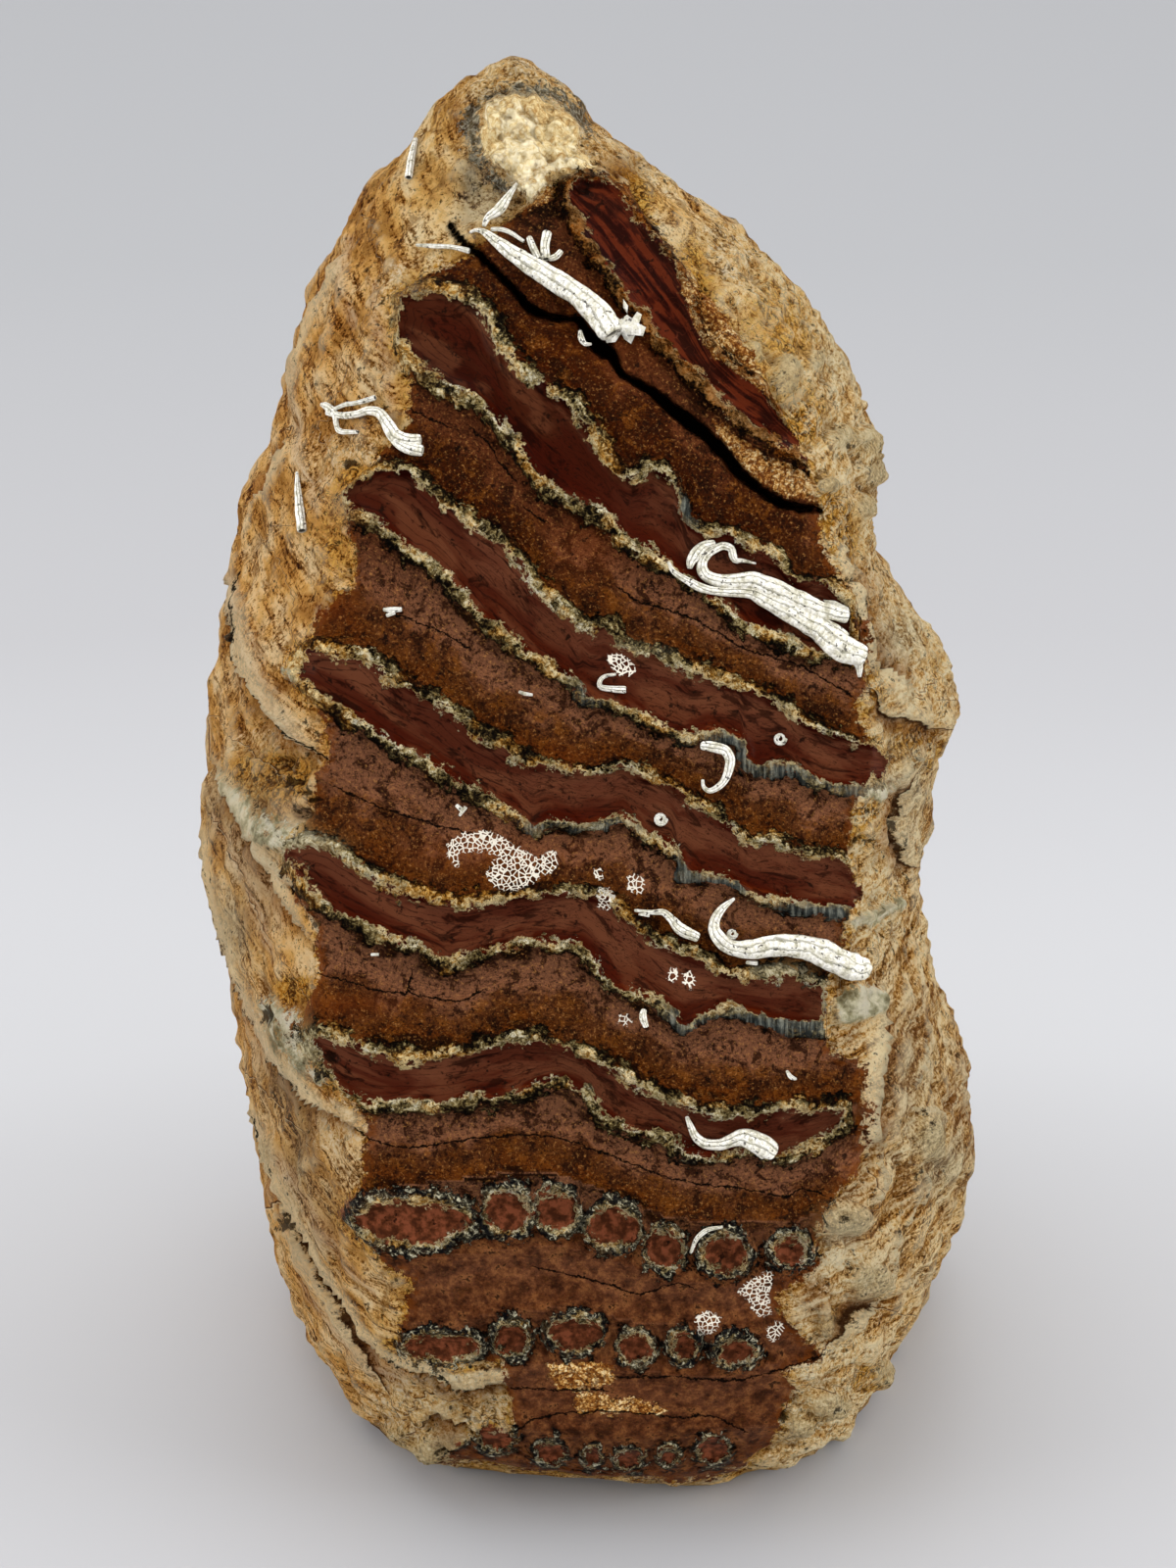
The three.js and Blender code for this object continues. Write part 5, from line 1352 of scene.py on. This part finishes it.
# ------------------------------------------------------------------ white worm tubes
# Each tube as strands of sheet points with the width there.
WORM_TUBES = {
    "worm_tube_top": [
        [(480, 237, 3), (486, 235, 4), (494, 237, 7), (509, 248, 13), (524, 259, 17),
         (547, 274, 22), (569, 288, 24), (587, 299, 24), (604, 314, 27), (616, 328, 29),
         (622, 337, 27)]],
    "worm_tube_left": [
        [(334, 421, 6), (347, 424, 7), (363, 423, 8), (376, 419, 9), (388, 422, 11),
         (396, 434, 13), (404, 445, 14), (416, 449, 13), (427, 449, 12)],
        [(390, 430, 5), (398, 444, 8), (408, 453, 11), (418, 458, 12), (429, 460, 12)]],
    "worm_tube_left_edge": [[(303, 482, 3), (304, 500, 7), (306, 522, 10), (308, 540, 11)]],
    "worm_tube_shoulder": [[(424, 142, 5), (420, 160, 8), (417, 180, 9)]],
    "worm_tube_right": [
        [(771, 575, 2), (758, 572, 4), (751, 572, 6), (748, 567, 8), (746, 560, 8),
         (738, 557, 9), (730, 560, 9), (722, 565, 9), (717, 573, 10), (717, 582, 12),
         (723, 589, 13), (735, 593, 14), (750, 593, 16), (767, 592, 18), (780, 597, 20),
         (797, 604, 21), (813, 612, 21), (830, 620, 20), (847, 625, 17), (863, 629, 14)],
        [(682, 574, 3), (687, 583, 5), (697, 590, 7), (710, 597, 9), (723, 602, 9),
         (737, 604, 9), (752, 604, 11), (767, 605, 13), (780, 612, 17), (797, 620, 20),
         (813, 630, 21), (830, 639, 22), (842, 648, 24), (853, 657, 28), (866, 664, 28),
         (878, 668, 23)],
        [(767, 598, 6), (780, 604, 9), (797, 612, 12), (813, 621, 13), (830, 630, 14),
         (846, 640, 14), (862, 650, 12)],
        [(868, 668, 14), (876, 678, 9), (877, 690, 4)],
        [(728, 554, 7), (718, 557, 10), (710, 565, 12), (705, 573, 10), (704, 579, 6)]],
    "worm_tube_hook": [
        [(717, 761, 9), (728, 762, 11), (740, 766, 11), (745, 775, 11), (744, 784, 10),
         (740, 795, 8), (733, 803, 7), (724, 807, 6), (718, 803, 4), (717, 796, 3)]],
    "worm_tube_lower": [
        [(749, 917, 3), (737, 927, 8), (730, 938, 10), (729, 950, 13), (736, 960, 15),
         (747, 967, 17), (765, 969, 20), (790, 965, 23), (815, 966, 25), (835, 971, 27),
         (852, 979, 29), (868, 986, 29), (880, 988, 24)],
        [(864, 988, 14), (872, 996, 8), (875, 1001, 4)]],
    "worm_tube_thread": [
        [(648, 929, 3), (665, 931, 5), (677, 931, 7), (685, 938, 9), (693, 947, 12),
         (702, 952, 12), (711, 956, 10)], [(652, 933, 2), (662, 934, 4)]],
    "worm_tube_low_right": [
        [(701, 1140, 4), (705, 1150, 7), (710, 1160, 9), (720, 1167, 11), (734, 1168, 12),
         (746, 1164, 14), (758, 1161, 19), (770, 1165, 23), (780, 1170, 24), (787, 1174, 20)],
        [(774, 1172, 14), (779, 1180, 7)]],
}
# Thin tubes and threads that lie on the face beside them.
SMALL_TUBES = [
    [(494, 230, 5), (498, 222, 8), (509, 214, 12), (519, 200, 8), (527, 188, 4)],
    [(502, 234, 5), (511, 234, 5), (520, 237, 5), (534, 246, 4)],
    [(540, 243, 7), (544, 253, 8), (549, 263, 8)],
    [(558, 238, 10), (556, 250, 10), (557, 263, 10)],
    [(561, 264, 6), (567, 262, 7), (572, 257, 6)],
    [(592, 338, 4), (593, 345, 7), (597, 351, 5), (603, 351, 3)],
    [(328, 413, 4), (334, 415, 9), (342, 423, 8), (343, 432, 6), (347, 440, 6), (365, 441, 4)],
    [(342, 417, 4), (352, 413, 5), (365, 411, 5), (382, 406, 6)],
    [(425, 250, 3), (440, 251, 5), (460, 252, 5), (478, 256, 6)],
    [(628, 688, 3), (617, 690, 4), (612, 695, 5), (613, 701, 6), (625, 703, 7), (637, 704, 8)],
    [(705, 1278, 3), (711, 1264, 5), (722, 1255, 5), (737, 1252, 3)],
    [(530, 706, 3), (536, 708, 4), (543, 709, 3)],
    [(392, 622, 4), (400, 622, 6), (409, 622, 5)], [(395, 628, 4), (402, 625, 5)],
    [(466, 822, 4), (473, 828, 5)], [(469, 832, 3), (475, 824, 4)],
    [(803, 1093, 3), (807, 1099, 5), (812, 1101, 3)],
    [(657, 1031, 6), (656, 1038, 8), (659, 1047, 6)],
    [(762, 982, 4), (772, 983, 5)], [(379, 974, 3), (386, 974, 3)],
]
# Flat coiled tubes: (x, y, radius of the coil, width of the tube).
SPIRAL_TUBES = [(674, 836, 6, 4), (796, 754, 6, 3), (747, 953, 5, 3)]
# Broken flakes of tube wall: closed outlines.
FLAKES = [
    [(616, 320), (622, 314), (627, 322), (633, 326), (640, 321), (645, 325), (650, 318),
     (655, 321), (652, 330), (659, 334), (656, 343), (648, 342), (644, 351), (637, 346),
     (634, 340), (628, 349), (619, 350), (616, 343), (611, 341), (613, 331)],
    [(636, 305), (641, 312), (640, 320), (636, 314)],
    [(840, 612), (852, 613), (866, 620), (868, 630), (860, 632), (848, 622)],
]


def relief_at(x, y):
    """Mean rise of the shaped face over the smooth body near each sheet point, in mm."""
    turns = np.linspace(0, 2 * math.pi, 9)[:-1]
    near_x = (x[:, None] + 6 * np.cos(turns)).ravel()
    near_y = (y[:, None] + 6 * np.sin(turns)).ravel()
    signed, half = enamel_field(near_x, near_y)
    band = 1 - smooth((np.abs(signed) - half + 0.3) / 0.6)
    pool = smooth((-signed - half + 0.1) / 1.4)
    return (band * ENAMEL_RISE - pool * 0.8 * POOL_DEPTH).reshape(-1, len(turns)).mean(axis=1)


def tube_path(line, spacing=0.32):
    """Centres and radii in mm along a tube that lies on the face."""
    points = np.array(line, float)
    length = np.hypot(*np.diff(points[:, :2], axis=0).T).sum() * STEP
    along = spaced(line, max(8, int(length / spacing)))
    lift = relief_at(along[:, 0], along[:, 1])
    spread = max(1, int(2.5 / spacing))
    padded = np.pad(lift, spread, mode="edge")
    window = np.ones(2 * spread + 1) / (2 * spread + 1)
    lift = np.convolve(padded, window, mode="valid")
    radius = along[:, 2] * STEP / 2
    depth = np.array([depth_at(x, y) for x, y, _ in along]) - lift - radius * 0.72
    return place(along[:, 0], along[:, 1], depth), radius


class Shell:
    """Gathers tubes and flakes into one mesh."""

    def __init__(self):
        self.points, self.faces, self.run, self.inner, self.turn = [], [], [], [], []

    def rings(self, rings, run, inner, turns):
        """A closed skin over rings of points, each with its run and how far inside it lies."""
        start, sides = len(self.points), len(rings[0])
        for ring, at, dark in zip(rings, run, inner):
            self.points.extend(ring)
            self.run.extend([at] * sides)
            self.inner.extend([dark] * sides)
            self.turn.extend([(math.cos(t), math.sin(t), 0) for t in turns])
        for i in range(len(rings) - 1):
            for k in range(sides):
                a, b = start + i * sides + k, start + i * sides + (k + 1) % sides
                self.faces.append((a, b, b + sides, a + sides))
        last = start + (len(rings) - 1) * sides
        self.faces.append(tuple(start + k for k in reversed(range(sides))))
        self.faces.append(tuple(last + k for k in range(sides)))

    def tube(self, line, sides=24, seed=0.0):
        """A keeled tube along a line, hollow at its wide last end."""
        centres, radii = tube_path(line)
        run = np.concatenate([[0], np.cumsum(np.linalg.norm(np.diff(centres, axis=0), axis=1))])
        ahead = np.gradient(centres, axis=0)
        ahead /= np.linalg.norm(ahead, axis=1, keepdims=True)
        toward = np.array([0, -math.cos(LEAN), math.sin(LEAN)])
        side = np.cross(ahead, toward)
        side /= np.linalg.norm(side, axis=1, keepdims=True)
        up = np.cross(side, ahead)
        turns = np.linspace(0, 2 * math.pi, sides, endpoint=False)
        keel = (0.22 * np.exp(-((turns - 1.75) / 0.16) ** 2)
                + 0.10 * np.exp(-((turns - 0.95) / 0.14) ** 2)
                + 0.10 * np.exp(-((turns - 2.55) / 0.14) ** 2))
        rings, marks, inner = [], [], []

        def add(i, share, shift, dark):
            wobble = np.array([noise.fractal(Vector((run[i] * 0.4 + seed, math.cos(t) * 0.9,
                                                     math.sin(t) * 0.9)), 1.0, 2.0, 3)
                               for t in turns])
            size = radii[i] * share * (0.97 + 0.14 * wobble + keel)
            ring = (centres[i] + ahead[i] * shift + size[:, None]
                    * (np.cos(turns)[:, None] * side[i] + 0.85 * np.sin(turns)[:, None] * up[i]))
            rings.append(ring)
            marks.append(run[i] + shift)
            inner.append(dark)

        for shift, share in ((-0.55, 0.3), (-0.45, 0.62), (-0.25, 0.85)):
            add(0, share, shift * radii[0], 0.0)
        for i in range(len(centres)):
            add(i, 1.0, 0.0, 0.0)
        last = len(centres) - 1
        for shift, share, dark in ((0.3, 0.9, 0.0), (0.42, 0.74, 0.2), (0.2, 0.6, 0.8),
                                   (-0.8, 0.5, 1.0), (-0.9, 0.2, 1.0)):
            add(last, share, shift * radii[-1], dark)
        self.rings(rings, marks, inner, turns)

    def flake(self, outline):
        """A thin ragged plate that lies on the face."""
        x, y = np.array(outline, float).T
        lift = relief_at(x, y).mean() + 0.45
        depth = np.array([depth_at(*point) for point in outline]).mean() - lift
        back, front = place(x, y, depth + 0.5), place(x, y, np.full(len(x), depth))
        self.rings([front, back], [0.0, 0.4], [0.0, 0.0], [math.pi / 2] * len(x))

    def object(self, name, material):
        mesh = bpy.data.meshes.new(name + "_shape")
        mesh.from_pydata([(np.array(p) * MM).tolist() for p in self.points], [], self.faces)
        for label, values in (("run", self.run), ("inner", self.inner)):
            layer = mesh.attributes.new(label, "FLOAT", "POINT")
            layer.data.foreach_set("value", np.array(values, np.float32))
        layer = mesh.attributes.new("turn", "FLOAT_VECTOR", "POINT")
        layer.data.foreach_set("vector", np.array(self.turn, np.float32).ravel())
        mesh.shade_smooth()
        mesh.materials.append(material)
        made = bpy.data.objects.new(name, mesh)
        bpy.context.collection.objects.link(made)
        return made


def tube_material():
    g = Graph("worm_tube_lime")
    mm = g.place_mm()
    run, inner = g.attr("run"), g.attr("inner")
    aside, high, _ = g.split(g.attr("turn", True))
    soft = g.noise(mm, 0.9, 5, 0.65)
    colour = g.ramp(g.add(soft, 0.5), (0.34, "#aaa58c"), (0.45, "#dcd7c4"), (0.55, "#f2efe4"))
    rings = g.math("SINE", g.times(g.add(run, g.times(soft, 3.0)), 9.0))
    colour = g.blend(g.times(g.step(rings, 0.7, 1.0), 0.25), colour, "#a39d86")
    # Grooves beside the keels, painted darker as painted shade; they also sink the bump.
    wander = g.add(aside, g.add(g.times(soft, 0.5), g.times(g.noise(mm, 0.3, 2), 0.8)))
    groove = g.math("MAXIMUM", *[g.step(g.math("ABSOLUTE", g.add(wander, at)), 0.12, 0.0)
                                 for at in (-0.25, 0.45)])
    groove = g.times(groove, g.step(high, 0.0, 0.3))
    colour = g.blend(g.times(groove, 0.55), colour, "#8d8866")
    # Painted shade down the tube's sides and underside.
    colour = g.blend(g.times(g.step(high, 0.45, -0.1), 0.6), colour, "#857c62")
    specks = g.noise(mm, 1.6, 2, 0.4)
    colour = g.blend(g.times(g.step(specks, -0.15, -0.18), 0.85), colour, "#2c241b")
    # Painted shade inside the tube's open end.
    colour = g.blend(g.step(inner, 0.4, 0.9), colour, "#3a3325")
    height = g.add(g.times(rings, 0.06), g.add(g.times(soft, 1.2), g.times(groove, -0.5)))
    return g.finish(g.surface(colour, 0.6, height, 0.5))


def worm_tubes():
    lime = tube_material()
    for number, (name, strands) in enumerate(WORM_TUBES.items()):
        shell = Shell()
        for strand in strands:
            shell.tube(strand, seed=number * 7.3 + strand[0][0])
        tube = shell.object(name + "_dressed", lime)
        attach(tube, "root")
        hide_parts(name)
    small = Shell()
    for outline in FLAKES:
        small.flake(outline)
    for number, line in enumerate(SMALL_TUBES):
        small.tube(line, sides=10, seed=50 + number * 3.1)
    for number, (x, y, radius, width) in enumerate(SPIRAL_TUBES):
        turns = np.linspace(0, 3.4 * math.pi, 16)
        coil = [(x + radius * (1 - 0.16 * t / math.pi) * math.cos(t),
                 y + radius * (1 - 0.16 * t / math.pi) * math.sin(t), width) for t in turns]
        small.tube(coil, sides=10, seed=90 + number * 3.1)
    threads = small.object("small_worm_tubes", lime)
    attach(threads, "root")


# ------------------------------------------------------------------ table, light and camera
def table_top():
    """Pale sheet under and behind the tooth, with painted light fall-off: near white close by the tooth,
    greyer in front and far away.
    """
    g = Graph("pale_table")
    mm = g.place_mm()
    _, y, _ = g.split(mm)
    soft = g.noise(mm, 0.004, 2)
    # The ramp along y paints the light falling off away from the tooth.
    colour = g.ramp(g.add(g.math("DIVIDE", g.add(y, 300.0), 1800.0), g.times(soft, 0.05)),
                    (0.0, "#a6a6a8"), (0.1, "#a9a9ab"), (0.22, "#b8b9bb"), (0.34, "#a7a7a9"),
                    (0.5, "#a0a1a3"), (1.0, "#a2a3a5"))
    material = g.finish(g.surface(colour, 0.55))
    mesh = bpy.data.meshes.new("table_sheet")
    mesh.from_pydata([(-4, -2, 0), (4, -2, 0), (4, 7, 0), (-4, 7, 0)], [], [(0, 1, 2, 3)])
    mesh.materials.append(material)
    table = bpy.data.objects.new("table_top", mesh)
    bpy.context.collection.objects.link(table)


def area_light(name, at, aim, size, power):
    lamp = bpy.data.lights.new(name, "AREA")
    lamp.shape = "RECTANGLE"
    lamp.size, lamp.size_y = size
    lamp.energy = power
    made = bpy.data.objects.new(name, lamp)
    made.location = at
    made.rotation_euler = (Vector(aim) - Vector(at)).to_track_quat("-Z", "Y").to_euler()
    bpy.context.collection.objects.link(made)


def light_and_camera():
    world = bpy.data.worlds.new("room")
    world.use_nodes = True
    world.node_tree.nodes["Background"].inputs[0].default_value = (0.9, 0.9, 0.92, 1)
    world.node_tree.nodes["Background"].inputs[1].default_value = 1.15
    bpy.context.scene.world = world
    area_light("ceiling", (-0.2, 0.1, 1.3), (0, 0, 0.1), (1.3, 0.9), 5)
    area_light("front_fill", (0.1, -1.3, 0.75), (0, 0, 0.1), (0.8, 0.5), 2)
    area_light("left_fill", (-1.1, -0.35, 0.4), (0, 0, 0.08), (0.8, 0.8), 8)
    area_light("right_fill", (1.1, -0.35, 0.4), (0, 0, 0.08), (0.8, 0.8), 11)

    camera = bpy.data.cameras.new("camera")
    camera.lens, camera.sensor_width = 100, 36
    camera.clip_start, camera.clip_end = 0.05, 50
    eye = bpy.data.objects.new("camera", camera)
    eye.location = (-CENTRE[0] * MM, -(CENTRE[1] + SIGHT * math.cos(LEAN)) * MM,
                    (LIFT + SIGHT * math.sin(LEAN)) * MM)
    eye.rotation_euler = (math.pi / 2 - LEAN, 0, 0)
    bpy.context.collection.objects.link(eye)
    bpy.context.scene.camera = eye
    bpy.context.scene.view_settings.view_transform = "Standard"


# ------------------------------------------------------------------ scene
tooth = tooth_mesh()
tooth.data.materials.append(tooth_material())
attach(tooth, "root")
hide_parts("tooth")
worm_tubes()
table_top()
light_and_camera()
